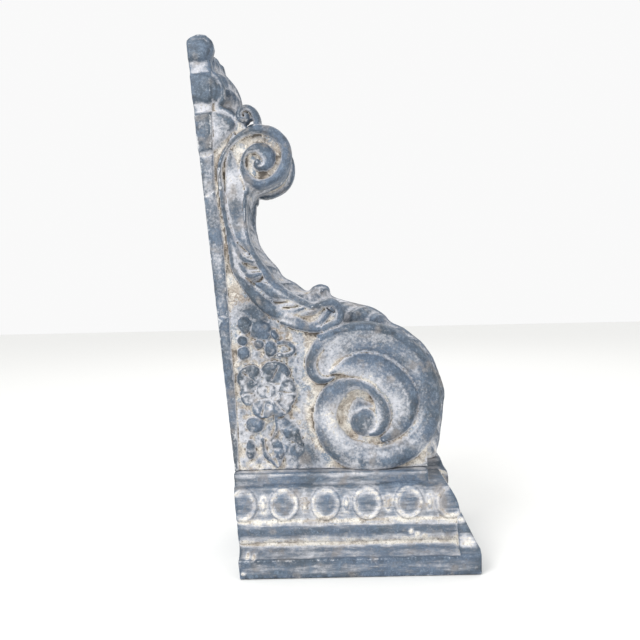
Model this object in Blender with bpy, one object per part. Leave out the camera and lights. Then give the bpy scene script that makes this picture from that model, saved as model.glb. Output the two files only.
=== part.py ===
"""Scroll corbel standing on its moulded cap.

Every size below is in millimetres and the meshes are written in metres. x runs from the flat back
to the carved front, z up from the underside of the cap, and y across the width, the two side faces
being mirror images. The solids are level sets: a half width over the side view, cut by a front
surface that lies a set depth inside the outline of that view.

The scroll is one free form. Its side view is drawn on a sheet whose units are shares of the body's
own height, so places and widths in the lists follow that height, and each rise is its own size.
"""

import math

import bpy
import numpy as np

# Overall sizes
HEIGHT = 603.0
CAP_HEIGHT = 106.0
LEAN = math.tan(math.radians(4.8))
SEAM = 0.15
MIDDLE_X = 107.5

# Half width of the side panel, and how far the carving stands out of it or is sunk in it
PANEL = 60.0
STRIP_RISE = 3.0
STRIP_SOFT = 2.5
SEAM_DEPTH = 1.5
LOBE_RISE = 6.0
BUD_RISE = 7.0
SPRAY_RISE = 5.0
BED_RISE = 4.0
PETAL_FLOOR = 2.0
PETAL_RISE = 8.0
HEART_FLOOR = 3.0
HEART_RISE = 8.5
FIELD_RISE = 4.0
SCROLL_RISE = 5.5
POCKET_DEPTH = 7.0
HOLLOW_DEPTH = 5.0
HUSK_RISE = 10.0
SECOND_RISE = 12.0
HOOK_RISE = 12.0
HOOK_BED_RISE = 7.5
ROLL_RISE = 14.0
LEDGE_RISE = 11.0
LEDGE_FOOT = 6.0
ROLL_FLOOR = 2.0
RING_RISE = 12.5
EYE_RISE = 11.5
NECK_RISE = 7.0
EYE_FLOOR = -4.0
EDGE_RISE = 10.5
END_RISE = 12.0
CORNER_RISE = 10.0
HEAD_RISE = 13.0
CURL_RISE = 8.0

# The front between the two cheeks, and the leaf that lies over it
CHANNEL_DEPTH = 9.0
CHEEK_INNER = 46.0
CHEEK_ROUND = 5.0
LEAF_INSET = 1.5
LEAF_WAVE = 1.2
LEAF_FALL = 8.0
LEAF_CUT = 60.0
RIB_RISE = 1.5
RIB_HALF = 3.0

# The cap's side moulding, by heights and half widths
SLAB_HALF = 117.0
SLAB_HEIGHT = 20.0
SLAB_FRONT = 265.0
SLAB_CORNER = 3.5
COVE_HALF = 94.0
COVE_TOP = 31.0
TORUS_TOP = 51.0
TORUS_HALF = 97.0
TORUS_BULGE = 5.0
FILLET_TOP = 55.0
FILLET_HALF = 93.0
EGG_TOP = 94.0
EGG_LOW_HALF = 92.0
EGG_HIGH_HALF = 82.0
LEDGE_HALF = 74.0
LEDGE_FLARE = 6.0
LEDGE_FRONT = 213.0
MOULDING_FRONT = 245.0
MOULDING_LAP = 3.0

# The cap's plain front
FRONT_SLAB_HEIGHT = 26.0
FRONT_STEP = 1.0
RAKE_TOP = 66.0
OVOLO_FRONT = 232.0
FRONT_TAPER = 30.0
TAPER_FOOT = 22.0
TIP_HALF = 20.0
TIP_REACH = 9.0
TIP_TALL = 24.0

# The egg-and-dart row
EGG_PITCH = 46.6
EGG_FIRST = 2.0
EGG_GAP = 0.9
EGG_HALF_WIDE = 17.0
EGG_RIM = 5.5
EGG_RIM_END = 3.0
EGG_RISE = 3.6
DART_HALF = 3.0
DART_TALL = 8.0
DART_RISE = 3.0

# The carving grid and the triangles kept
GRID = HEIGHT / 335
GRID_ROOM = 3 * GRID
BODY_TRIANGLES = 7300
CAP_TRIANGLES = 2500

# The drawn sheet of the scroll: heights of the cap's top and of the tail's tip, and a unit in mm
SHEET_FOOT, SHEET_TOP = 106, 603
UNIT = (HEIGHT - CAP_HEIGHT) / (SHEET_TOP - SHEET_FOOT)
SHEET_FRONT = 254
FAR = 1e3
NEARLY_OUT = 0.05
SPAN_STEPS = 6
HEAD_STEP = 30


def back_x(z):
    """The back leans: the foot of the tail stands forward of its tip."""
    return -LEAN * z


def on_sheet(xs, zs):
    """The same places in sheet units, measured from the foot of the body's back."""
    return (xs - back_x(CAP_HEIGHT)) / UNIT + back_x(SHEET_FOOT), (zs - CAP_HEIGHT) / UNIT + SHEET_FOOT


def smooth_path(points, per_span=SPAN_STEPS):
    """Catmull-Rom curve through rows of numbers, the first two of them a place."""
    rows = np.array(points, float)
    ends = np.vstack([2 * rows[0] - rows[1], rows, 2 * rows[-1] - rows[-2]])
    out = []
    for i in range(1, len(ends) - 2):
        a, b, c, d = ends[i - 1], ends[i], ends[i + 1], ends[i + 2]
        for k in range(per_span):
            t = k / per_span
            row = 0.5 * ((2 * b) + (c - a) * t + (2 * a - 5 * b + 4 * c - d) * t * t)
            out.append(row + 0.5 * (3 * b - a - 3 * c + d) * t**3)
    out.append(ends[-2])
    return np.array(out)


def scroll_path(centre, start, step, radii, halves):
    """A spiral that winds clockwise, one radius and one half width for each step of its angle."""
    rows = []
    for i, (radius, half) in enumerate(zip(radii, halves)):
        a = math.radians(start - step * i)
        rows.append((centre[0] + radius * math.cos(a), centre[1] + radius * math.sin(a), half))
    return smooth_path(rows)


def polar_path(centre, rows):
    """A curve through places given by angle, radius and half width about a centre."""
    out = []
    for angle, radius, *half in rows:
        a = math.radians(angle)
        out.append((centre[0] + radius * math.cos(a), centre[1] + radius * math.sin(a), *half))
    return smooth_path(out)


def smooth_step(t):
    t = np.clip(t, 0.0, 1.0)
    return t * t * (3 - 2 * t)


class Side:
    """Half widths over the sheet, with how far inside the outline each place lies."""

    def __init__(self, xs, zs):
        self.xs = xs
        self.zs = zs
        self.x, self.z = np.meshgrid(xs, zs, indexing="ij")
        self.height = np.full(self.x.shape, PANEL)
        self.inside = np.full(self.x.shape, -FAR)

    def window(self, path, reach):
        low = path[:, :2].min(axis=0) - reach
        high = path[:, :2].max(axis=0) + reach
        i0, i1 = np.searchsorted(self.xs, (low[0], high[0]))
        k0, k1 = np.searchsorted(self.zs, (low[1], high[1]))
        return slice(i0, i1), slice(k0, k1)

    def near(self, path, reach=0.0):
        """Distance to the path in its own half widths, that distance in mm, and the half width."""
        where = self.window(path, path[:, 2].max() + reach)
        x, z = self.x[where], self.z[where]
        best = np.full(x.shape, FAR)
        room = np.full(x.shape, -FAR)
        for (x0, z0, w0), (x1, z1, w1) in zip(path[:, :3], path[1:, :3]):
            dx, dz = x1 - x0, z1 - z0
            t = np.clip(((x - x0) * dx + (z - z0) * dz) / max(dx * dx + dz * dz, 1e-9), 0, 1)
            away = np.hypot(x - x0 - t * dx, z - z0 - t * dz)
            half = w0 + t * (w1 - w0)
            np.minimum(best, away / half, out=best)
            np.maximum(room, half - away, out=room)
        return where, best, room

    def roll(self, path, rise, floor=0.0, outline=False, flat=1.0):
        """A rounded band along the path, from the floor beside it up to its crest."""
        where, q, room = self.near(path, 60.0 if outline else 0.0)
        crown = np.sqrt(np.clip(1 - q ** (2 * flat), 0, 1))
        shape = PANEL + floor + (rise - floor) * crown
        self.height[where] = np.where(q < 1, np.maximum(self.height[where], shape), self.height[where])
        if outline:
            self.inside[where] = np.maximum(self.inside[where], room)

    def carve(self, path, depth):
        """A hollow along the path, with soft sides."""
        where, q, _ = self.near(path)
        self.height[where] -= depth * np.clip(1 - q * q, 0, 1) ** 1.5

    def dome(self, centre, halves, rise, floor=0.0, turn=0.0):
        """A raised oval, its long axis turned by some degrees."""
        where = self.window(np.array([centre]), max(halves))
        dx, dz = self.x[where] - centre[0], self.z[where] - centre[1]
        c, s = math.cos(math.radians(turn)), math.sin(math.radians(turn))
        q = np.hypot((c * dx + s * dz) / halves[0], (c * dz - s * dx) / halves[1])
        shape = PANEL + floor + (rise - floor) * np.sqrt(np.clip(1 - q * q, 0, 1))
        self.height[where] = np.where(q < 1, np.maximum(self.height[where], shape), self.height[where])

    def plateau(self, corners, rise, shoulder):
        """Lifts a closed shape by the rise, over a soft shoulder."""
        self.height += rise * smooth_step(self.area(corners) / shoulder) ** 0.7

    def ribbon(self, centre, rows, crest, ledge):
        """A band round the volute: a rounded crest outside and a slope inside it.

        Each row gives an angle, the outer and inner radius and the crest's share of the width.
        """
        angles, outers, inners, shares = np.array(rows[::-1], float).T
        dx, dz = self.x - centre[0], self.z - centre[1]
        radius = np.hypot(dx, dz)
        angle = np.degrees(np.arctan2(dz, dx))
        angle = np.where(angle < angles[0], angle + 360, angle)
        outer, inner = np.interp(angle, angles, outers), np.interp(angle, angles, inners)
        share = np.interp(angle, angles, shares)
        s = (outer - radius) / (outer - inner)
        t = np.clip(s / share, 0, 1)
        rising = crest * np.sqrt(np.clip(1 - (1 - t / 0.5) ** 2, 0, 1))
        falling = ledge + (crest - ledge) * (0.5 - 0.5 * np.cos(2 * math.pi * t))
        shape = np.where(t < 0.5, rising, falling)
        u = np.clip((s - share) / (1 - share), 0, 1)
        slope = ledge - (ledge - LEDGE_FOOT) * u**0.8
        shape = np.where(s > share, slope, shape)
        taken = (s > 0) & (s < 1) & (angle <= angles[-1])
        self.height = np.where(taken, np.maximum(self.height, PANEL + shape), self.height)

    def deepen(self, reach=14.0):
        """Takes the seams between overlapping shapes out of the distance to the outline."""
        step = self.xs[1] - self.xs[0]
        count = int(reach / step) + 1
        outside = np.where(self.inside <= 0, self.inside, FAR)
        wide = np.pad(outside, count, constant_values=FAR)
        best = np.full(self.inside.shape, reach)
        n, m = self.inside.shape
        for i in range(-count, count + 1):
            for k in range(-count, count + 1):
                away = step * math.hypot(i, k)
                if away < reach + step:
                    beside = wide[count + i : count + i + n, count + k : count + k + m]
                    np.minimum(best, beside + away, out=best)
        self.inside = np.where(self.inside > 0, np.maximum(self.inside, best), self.inside)

    def area(self, corners):
        """Distance to the edge of a closed shape, positive inside it."""
        ends = np.array(corners, float)
        x, z = self.x, self.z
        away = np.full(x.shape, FAR)
        crossed = np.zeros(x.shape, bool)
        for (x0, z0), (x1, z1) in zip(ends, np.roll(ends, -1, axis=0)):
            dx, dz = x1 - x0, z1 - z0
            t = np.clip(((x - x0) * dx + (z - z0) * dz) / max(dx * dx + dz * dz, 1e-9), 0, 1)
            np.minimum(away, np.hypot(x - x0 - t * dx, z - z0 - t * dz), out=away)
            if abs(dz) > 1e-9:
                crossed ^= ((z0 > z) != (z1 > z)) & (x < x0 + (z - z0) * dx / dz)
        return np.where(crossed, away, -away)


# The volute at the foot: its outer band by angle, radii and share of the crest, then its inner ring
VOLUTE_CENTRE = (142.0, 162.5)
VOLUTE_BAND = ((118, 113, 79, 0.34), (110, 114, 79.5, 0.34), (99, 114, 81, 0.36),
               (87, 114, 82, 0.37), (73, 112, 80, 0.39), (61, 109, 78, 0.42), (48, 105, 75, 0.47),
               (35, 100, 71.5, 0.52), (23, 95, 68, 0.57), (11, 90.5, 64, 0.62), (-1, 86, 57, 0.66),
               (-15, 81.5, 48, 0.72), (-30, 76.5, 41, 0.78), (-45, 70, 36, 0.82),
               (-73, 61.5, 28.5, 0.86), (-104, 59, 24, 0.88), (-125, 58, 25, 0.9))
VOLUTE_RIM = ((-147, 57.5), (-165, 57.5), (-183, 58.5), (-197, 59.5), (-212, 60), (-225, 58))
RING_RADII = (44.2, 41.4, 41.5, 42, 44, 46, 47.3, 45.6, 39.6, 31, 24.9, 21, 19.3, 17.9, 16.3)
RING_HALVES = (16.2, 17.2, 16.4, 15.2, 13.8, 13.4, 12.2, 8.2, 6.2, 6.4, 9, 10.3, 9, 6.7, 3.6)
HOOK = ((104, 213, 3), (97, 211, 4), (89, 214, 5), (83, 220, 5.5), (82, 230, 6), (86, 241, 7),
        (94, 252, 8), (106, 261, 9), (120, 268, 8))
HOOK_BED = ((99, 222, 9), (101, 233, 12), (108, 243, 14), (118, 250, 14))
SECOND_BAND = ((112, 66, 8), (102, 64.5, 12), (90, 62.5, 15), (75, 59.5, 17), (60, 56, 18),
               (45, 53.5, 18), (30, 51.5, 17.5), (15, 47.5, 15), (0, 43.5, 12.5), (-15, 38.5, 9.5),
               (-30, 34, 6.5), (-45, 30.5, 4))
SECOND_CREASE = ((105, 67), (85, 65), (65, 61), (45, 58), (25, 54), (5, 48), (-15, 41))
EYE_NECK = ((141, 168, 6), (135, 176, 5), (134, 184, 4), (139, 189, 3), (147, 187, 2.5))

# The scroll's head, its two edges and the husks between them
HEAD_CENTRE = (27.0, 459.0)
HEAD_RADII = (51.5, 42.5, 37, 34.8, 35.8, 37, 35.8, 31.8, 28.3, 25.6, 24.5, 23, 19.5, 17, 16.6,
              15.8, 15.1, 14.2, 13.1, 11.8, 10, 8.2, 6.8, 5)
HEAD_HALVES = (3.3, 3.2, 3.9, 4.2, 5.3, 6.3, 6.4, 6.4, 6.2, 5, 5.5, 6.5, 5, 3.2, 2.8, 3.8, 6.1, 8.2,
               8.9, 7.8, 6, 4.3, 3.3, 3)
HEAD_EYE = ((27, 456.5), (4.8, 5.6))
HEAD_CORNER = ((9, 449, 5), (12.5, 440, 4.5), (15, 432, 3.5), (14, 424, 3.5))
BACK_EDGE = ((-15, 430, 3.5), (-12, 404, 3.5), (-8, 381, 3.5), (-5, 358, 4), (-2, 341, 4.5),
             (5, 328, 5.5), (17, 312, 6.5), (30, 299, 7.5), (46, 288, 7.5), (62, 280, 7),
             (78, 272, 6), (92, 270, 5.5))
FRONT_EDGE = ((12.5, 425, 3), (11, 410, 2.8), (10.5, 395, 2.8), (12, 380, 3), (15.5, 366, 3.2),
              (21.5, 352, 4), (30, 338, 4.8), (40, 323, 5.5), (52, 312, 5.5), (66, 303, 5),
              (80, 297, 4.5), (92, 295, 4))
END_HOOK = ((84, 295, 3.5), (98, 298, 4.5), (109, 298, 5), (116, 289, 5.5), (112.5, 277, 5.5),
            (98, 270, 5.5))
SCROLL_FIELD = ((-14, 445), (-16, 465), (0, 492), (27, 459), (22, 436), (12, 428), (9, 390),
                (15, 355), (34, 327), (60, 303), (98, 295), (113, 285), (98, 270), (62, 278),
                (28, 300), (0, 335), (-8, 381))
HUSKS = (((-4, 470, 3), (-3, 456, 7), (0.5, 434, 11), (0.5, 415, 10.5), (2, 395, 9.5), (6, 378, 8),
          (12, 366, 5), (17.5, 356, 2)),
         ((-7, 385, 2), (-2, 366, 4), (6, 352, 4), (18, 347, 2)),
         ((-4, 358, 2), (4, 343, 3.5), (14, 332, 4), (27, 333, 2)),
         ((22, 322, 2), (31, 318, 5), (42, 311, 6), (58, 305, 2)),
         ((44, 291, 2), (60, 289, 4), (74, 293, 2)),
         ((50, 278, 3), (73, 272, 4.5), (93, 276, 4), (103, 287, 3)))
HOLLOWS = (((-12, 447, 4), (-13, 430, 4), (-8, 408, 4), (-2, 383, 3.5), (6, 366, 3), (16, 356, 1.5)),
           ((-2, 363, 1.5), (5, 351, 3), (14, 342, 4), (26, 340, 1.5)),
           ((-6, 357, 2), (-2, 345, 3), (6, 331, 4.5), (17, 322, 5), (26, 326, 3), (31, 332, 1)),
           ((6, 327, 2), (18, 313, 3.5), (32, 303, 4), (46, 300, 3), (57, 301, 1)),
           ((52, 294, 1.5), (62, 294, 2.5), (71, 297, 1)),
           ((50, 283, 2), (70, 281, 5), (86, 283, 5.5), (98, 291, 3)))

# The curl on the brow and the leafy lobes of the tail
BROW_CURL = ((27, 499, 4.5), (26.5, 509, 4.3), (23, 516, 4), (16.5, 520, 4), (10, 518.5, 4),
             (7, 513, 4), (9, 507.5, 4), (14, 507, 3.6), (16, 511, 2.6), (14, 513.5, 1.8))
TOP_LOBE = ((-52, 594), (-42, 597), (-31, 597.5), (-23, 591), (-22, 584), (-25, 573), (-33, 570),
            (-52, 570))
MIDDLE_LOBE = ((-50, 559), (-35, 561.5), (-26, 561), (-18, 556), (-12.5, 545), (-12.5, 536),
               (-17, 527), (-27, 524), (-50, 524))
LOW_LOBE = ((-48, 516), (-26.5, 518.5), (-12.7, 518), (-1.4, 512), (5, 503), (2.7, 495), (-6, 486),
            (-14, 478.5), (-22, 471), (-45, 467))
TAIL_OUTLINE = ((-60, 595), (-50, 595), (-46.5, 599), (-37, 603), (-29, 602), (-21.5, 596),
                (-20, 588), (-24, 574), (-22, 563), (-14, 557), (-9, 545), (-9, 533), (-14, 524),
                (-6, 519), (0, 515), (8, 506), (16, 500))
STRIP_SEAMS = (((-42, 466), (-30, 468), (-19, 474)),
               ((-42, 421), (-31, 423), (-21, 431)),
               ((-26, 286), (-8, 284)))

# The sprig on the side panel
FLOWER_CENTRE = (30.0, 200.0)
PETALS = ((11, 215, 14, 12, 40), (41, 220, 15.5, 12, -10), (54, 197, 9.5, 16, 0), (46, 180, 12, 10, 20),
          (26, 179, 12, 11, 0), (9, 196, 8.5, 13, 0))
FLOWER_HEART = 12.0
BUDS = ((25, 268, 12.5, 11.5, 0), (23, 253, 6, 6, 0), (36, 247, 8, 9, 0), (41, 263, 4, 7, 30),
        (7, 275, 8, 10, 20), (4, 257, 6, 6, 0), (5, 243, 7.5, 8, 0), (16, 159.5, 11, 10, 0),
        (10, 131, 6, 12, 0))
SPRAYS = (((45, 254, 2.5), (53, 254, 2.8), (60, 250, 3), (62, 244, 3), (56, 240, 3), (46, 240, 2.5)),
          ((40, 172, 2), (41, 155, 2.5), (35, 141, 2)),
          ((43, 164, 3), (55, 154, 10), (70, 135, 1.5)),
          ((37, 142, 3.5), (43, 129, 6.5), (43, 112, 1.5)),
          ((24, 142, 2), (28, 124, 3), (41, 110, 1.5)))

# The acanthus leaf down the front, by its middle line: x, z and half width
LEAF = ((-34, 598, 24), (-24, 593, 30), (-19, 584, 34), (-15, 575, 36), (-6, 564, 36), (0, 555, 36),
        (4, 545, 34), (6, 533, 32), (8, 520, 28), (14, 507, 26), (28, 499.5, 25), (44, 495, 24),
        (56, 485, 24), (61, 468, 25), (59, 452, 28), (50, 440, 32), (34, 432, 34), (20, 426, 34),
        (14.5, 410, 34), (13, 398, 36), (19, 383, 36), (22, 370, 36), (30, 356, 36), (43, 341, 36),
        (50, 330, 34), (64, 322, 28), (78, 312, 22), (86, 317, 20), (95, 320, 20), (105, 316, 20),
        (108, 306, 22), (122, 300, 34), (140, 295, 38), (158, 290, 38), (172, 281, 32),
        (180, 272, 28), (195, 264.5, 24), (208, 254.5, 22), (220, 243.5, 20), (231, 227, 19),
        (239, 206, 18), (245, 186, 18), (243.5, 168, 18), (242, 153, 19), (240, 139, 20),
        (237.5, 122, 22), (234, 108, 24), (234, 98, 26))
LEAF_RETURN = ((150, 104), (150, 190), (90, 270), (40, 305), (5, 345), (-2, 400), (0, 450),
               (-12, 500), (-36, 590))
LEAF_LOBE = 26.0
# The rest of the outline, the strip along the back, and the middles and widths of single forms
BODY_FOOT = ((0, 450), (0, 400), (10, 345), (40, 310), (100, 285), (115, 262), (190, 200),
             (216, 150), (214, 136), (214, 121), (216, 96), (-60, 96))
STRIP_HEIGHTS = (96, 131, 189, 270, 367, 430)
STRIP_EDGES = (-3, -3, -5, -9, -14, -22)
LOBE_SHOULDER = 7.0
BED_HALF = 27.0
HEART_HOLE = ((28, 200), (4.5, 3.5))
POCKET = ((150, 188, 9), (134, 190, 10), (122, 178, 12), (119, 162, 11), (128, 146, 9))
EYE = ((142.5, 159), (13.5, 13.5))
SEAM_HALF = 1.5
CREASE_HALF = 2.2
SQUARED = 0.9


def side_of_body(xs, zs):
    side = Side(*on_sheet(xs, zs))
    ring = scroll_path(VOLUTE_CENTRE, -75, 25, RING_RADII, RING_HALVES)
    rim = polar_path(VOLUTE_CENTRE, [row[:2] for row in VOLUTE_BAND] + list(VOLUTE_RIM))
    head = scroll_path(HEAD_CENTRE, -145, HEAD_STEP, HEAD_RADII, HEAD_HALVES)
    one_turn = 360 // HEAD_STEP * SPAN_STEPS + 1

    panel = side.area(TAIL_OUTLINE + BODY_FOOT)
    field = side.area(SCROLL_FIELD)
    disc = side.area(rim)
    knot = side.area(head[:one_turn, :2])
    loop = side.area([row[:2] for row in BROW_CURL[1:8]])
    side.inside = np.max([panel, field, disc, knot, loop], axis=0)

    strip = np.interp(side.z, STRIP_HEIGHTS, STRIP_EDGES)
    side.height += STRIP_RISE * smooth_step((strip - side.x) / STRIP_SOFT)
    for lobe in (TOP_LOBE, MIDDLE_LOBE, LOW_LOBE):
        side.plateau(lobe, LOBE_RISE, LOBE_SHOULDER)
    for seam in STRIP_SEAMS:
        side.carve(smooth_path([(px, pz, SEAM_HALF) for px, pz in seam]), SEAM_DEPTH)

    for x0, z0, wide, tall, turn in BUDS:
        side.dome((x0, z0), (wide, tall), BUD_RISE, 0.0, turn)
    for spray in SPRAYS:
        side.roll(smooth_path(spray), SPRAY_RISE)
    side.dome(FLOWER_CENTRE, (BED_HALF, BED_HALF), BED_RISE)
    for x0, z0, wide, tall, turn in PETALS:
        side.dome((x0, z0), (wide, tall), PETAL_RISE, PETAL_FLOOR, turn)
    side.dome(FLOWER_CENTRE, (FLOWER_HEART, FLOWER_HEART * 0.8), HEART_RISE, HEART_FLOOR)

    side.height = np.where(np.maximum(disc, knot) > 0, PANEL + FIELD_RISE, side.height)
    side.height = np.where(field > 0, PANEL + SCROLL_RISE, side.height)
    side.carve(smooth_path(POCKET), POCKET_DEPTH)
    for hollow in HOLLOWS:
        side.carve(smooth_path(hollow), HOLLOW_DEPTH)
    for husk in HUSKS:
        side.roll(smooth_path(husk), HUSK_RISE, FIELD_RISE)
    side.roll(polar_path(VOLUTE_CENTRE, SECOND_BAND), SECOND_RISE, FIELD_RISE, flat=SQUARED)
    side.carve(polar_path(VOLUTE_CENTRE, [(a, r, CREASE_HALF) for a, r in SECOND_CREASE]), SEAM_DEPTH)
    side.roll(smooth_path(HOOK_BED), HOOK_BED_RISE, ROLL_FLOOR)
    side.roll(smooth_path(HOOK), HOOK_RISE, 0.0, outline=True)
    side.ribbon(VOLUTE_CENTRE, VOLUTE_BAND, ROLL_RISE, LEDGE_RISE)
    side.roll(ring, RING_RISE, ROLL_FLOOR)
    side.dome(EYE[0], EYE[1], EYE_RISE, EYE_FLOOR)
    side.roll(smooth_path(EYE_NECK), NECK_RISE, EYE_FLOOR)
    side.roll(smooth_path(BACK_EDGE), EDGE_RISE, ROLL_FLOOR, outline=True)
    side.roll(smooth_path(FRONT_EDGE), EDGE_RISE, ROLL_FLOOR, outline=True)
    side.roll(smooth_path(END_HOOK), END_RISE, ROLL_FLOOR, outline=True)
    side.roll(smooth_path(HEAD_CORNER), CORNER_RISE, ROLL_FLOOR, outline=True)
    side.roll(head, HEAD_RISE, ROLL_FLOOR, outline=True)
    side.dome(HEAD_EYE[0], HEAD_EYE[1], ROLL_RISE, FIELD_RISE)
    side.roll(smooth_path(BROW_CURL), CURL_RISE, 0.0, outline=True)
    side.deepen()
    return side


def leaf_over(side):
    """Depth under the leaf's middle line, its half width there and the length along it."""
    path = smooth_path(LEAF, 4)
    inside = side.area(list(map(tuple, path[:, :2])) + list(LEAF_RETURN))
    x, z = side.x, side.z
    best = np.full(x.shape, FAR)
    half = np.full(x.shape, 20.0)
    along = np.zeros(x.shape)
    run = 0.0
    for (x0, z0, w0), (x1, z1, w1) in zip(path, path[1:]):
        dx, dz = x1 - x0, z1 - z0
        length = math.hypot(dx, dz)
        t = np.clip(((x - x0) * dx + (z - z0) * dz) / length**2, 0, 1)
        away = np.hypot(x - x0 - t * dx, z - z0 - t * dz)
        closer = away < best
        best = np.where(closer, away, best)
        half = np.where(closer, w0 + t * (w1 - w0), half)
        along = np.where(closer, run + t * length, along)
        run += length
    return np.sign(inside) * best, half, along


def body_field(xs, ys, zs):
    side = side_of_body(xs, zs)
    depth, half, along = leaf_over(side)
    across = np.abs(ys)[None, :, None]
    height, inside = side.height[:, None, :], UNIT * side.inside[:, None, :]
    channel = CHANNEL_DEPTH * smooth_step((CHEEK_INNER - across) / CHEEK_ROUND)
    solid = np.minimum(height - across, inside - channel)
    share = across / (UNIT * half[:, None, :])
    beat = np.cos(2 * math.pi * (along[:, None, :] / LEAF_LOBE + 0.6 * share))
    edge = share * (1.12 - 0.12 * beat)
    drop = LEAF_WAVE * (1 - beat) * np.clip(share * 3, 0, 1) + LEAF_FALL * edge**2.5
    drop += np.clip(edge - 1.0, 0, None) * LEAF_CUT - RIB_RISE * np.exp(-((across / RIB_HALF) ** 2))
    solid = np.maximum(solid, UNIT * depth[:, None, :] - LEAF_INSET - drop)
    behind = xs[:, None] - back_x(zs)[None, :]
    solid = np.minimum(solid, behind[:, None, :])
    return np.minimum(solid, (zs - (CAP_HEIGHT + SEAM))[None, None, :])


def cap_half_width(z):
    """The moulded side of the cap: slab, cove, torus, fillet, egg band, arris and hollow."""
    cove = np.sqrt(np.clip(1 - ((COVE_TOP - z) / (COVE_TOP - SLAB_HEIGHT)) ** 2, 0, 1))
    out = np.where(z > SLAB_HEIGHT, COVE_HALF + (SLAB_HALF - COVE_HALF) * (1 - cove), SLAB_HALF)
    bulge = (z - (COVE_TOP + TORUS_TOP) / 2) / ((TORUS_TOP - COVE_TOP) / 2)
    torus = TORUS_HALF - TORUS_BULGE + TORUS_BULGE * np.sqrt(np.clip(1 - bulge**2, 0, 1))
    out = np.where(z > COVE_TOP, torus, out)
    out = np.where(z > TORUS_TOP, FILLET_HALF, out)
    swell = (z - FILLET_TOP) / (EGG_TOP - FILLET_TOP)
    ovolo = EGG_HIGH_HALF + (EGG_LOW_HALF - EGG_HIGH_HALF) * np.sqrt(np.clip(1 - swell**2, 0, 1))
    out = np.where(z > FILLET_TOP, ovolo, out)
    hollow = (CAP_HEIGHT - z) / max(CAP_HEIGHT - EGG_TOP, GRID)
    ledge = LEDGE_HALF + LEDGE_FLARE * (1 - np.sqrt(np.clip(1 - hollow**2, 0, 1)))
    return np.where(z > EGG_TOP, ledge, out)


def cap_front(z):
    """The front of the cap: a plain slab, a straight rake and a rounded shoulder."""
    slope = (z - FRONT_SLAB_HEIGHT) / (RAKE_TOP - FRONT_SLAB_HEIGHT)
    rake = SLAB_FRONT - FRONT_STEP - (SLAB_FRONT - FRONT_STEP - MOULDING_FRONT) * slope
    out = np.where(z > FRONT_SLAB_HEIGHT, rake, SLAB_FRONT)
    swell = (z - RAKE_TOP) / (EGG_TOP - RAKE_TOP)
    ovolo = OVOLO_FRONT + (MOULDING_FRONT - OVOLO_FRONT) * (1 - np.clip(swell, 0, 1) ** 1.6)
    out = np.where(z > RAKE_TOP, ovolo, out)
    return np.where(z > EGG_TOP, LEDGE_FRONT, out)


def egg_relief(x, z):
    """Height of the egg-and-dart row over its band, as many eggs as the moulding has room for."""
    out = np.zeros(x.shape)
    half_tall = (EGG_TOP - FILLET_TOP) / 2 - EGG_GAP
    count = int((MOULDING_FRONT - EGG_FIRST) / EGG_PITCH) + 1
    for i in range(count):
        dx, dz = x - (EGG_FIRST + EGG_PITCH * i), z - (FILLET_TOP + EGG_TOP) / 2
        outer = np.hypot(dx / EGG_HALF_WIDE, dz / half_tall)
        inner = np.hypot(dx / (EGG_HALF_WIDE - EGG_RIM), dz / (half_tall - EGG_RIM_END))
        middle = (1 + (1 - EGG_RIM / EGG_HALF_WIDE)) / 2
        rim = np.clip(1 - ((outer - middle) / (1 - middle)) ** 2, 0, 1)
        out = np.maximum(out, EGG_RISE * np.sqrt(rim))
        out = np.maximum(out, EGG_RISE * 0.9 * np.sqrt(np.clip(1 - inner**2, 0, 1)))
        dart = np.hypot((dx - EGG_PITCH / 2) / DART_HALF, dz / DART_TALL)
        out = np.maximum(out, DART_RISE * np.sqrt(np.clip(1 - dart**2, 0, 1)))
    return out * smooth_step((z - FILLET_TOP) / 1.5) * smooth_step((EGG_TOP - z) / 1.5)


def cap_field(xs, ys, zs):
    x, z = np.meshgrid(xs, zs, indexing="ij")
    across = np.abs(ys)[None, :, None]
    half = cap_half_width(z) + egg_relief(x, z)
    ahead = (np.minimum(cap_front(z), MOULDING_FRONT) - x)[:, None, :]
    moulded = np.minimum(half[:, None, :] - across, ahead)
    rise = np.clip((z - TAPER_FOOT) / (EGG_TOP - TAPER_FOOT), 0, 1)
    plain_half = SLAB_HALF - FRONT_TAPER * rise**0.45
    plain = np.minimum(plain_half[:, None, :] - across, (cap_front(z) - x)[:, None, :])
    keep = np.maximum(x - MOULDING_FRONT + MOULDING_LAP, SLAB_HEIGHT - z)
    solid = np.maximum(moulded, np.minimum(plain, keep[:, None, :]))
    under = np.abs(EGG_TOP - z)
    front = cap_front(np.minimum(z, EGG_TOP)) + TIP_REACH - 0.35 * under - x
    tip = np.minimum(TIP_HALF - across - 0.5 * under[:, None, :], front[:, None, :])
    solid = np.maximum(solid, np.minimum(tip, (z - EGG_TOP + TIP_TALL)[:, None, :]))
    round_x = (SLAB_FRONT - SLAB_CORNER - x)[:, None, :]
    round_y = SLAB_HALF - SLAB_CORNER - across
    solid = np.minimum(solid, SLAB_CORNER - np.hypot(np.minimum(round_x, 0), np.minimum(round_y, 0)))
    solid = np.minimum(solid, (x - back_x(z))[:, None, :])
    return np.minimum(solid, np.minimum(z, CAP_HEIGHT - SEAM - z)[:, None, :])


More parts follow.
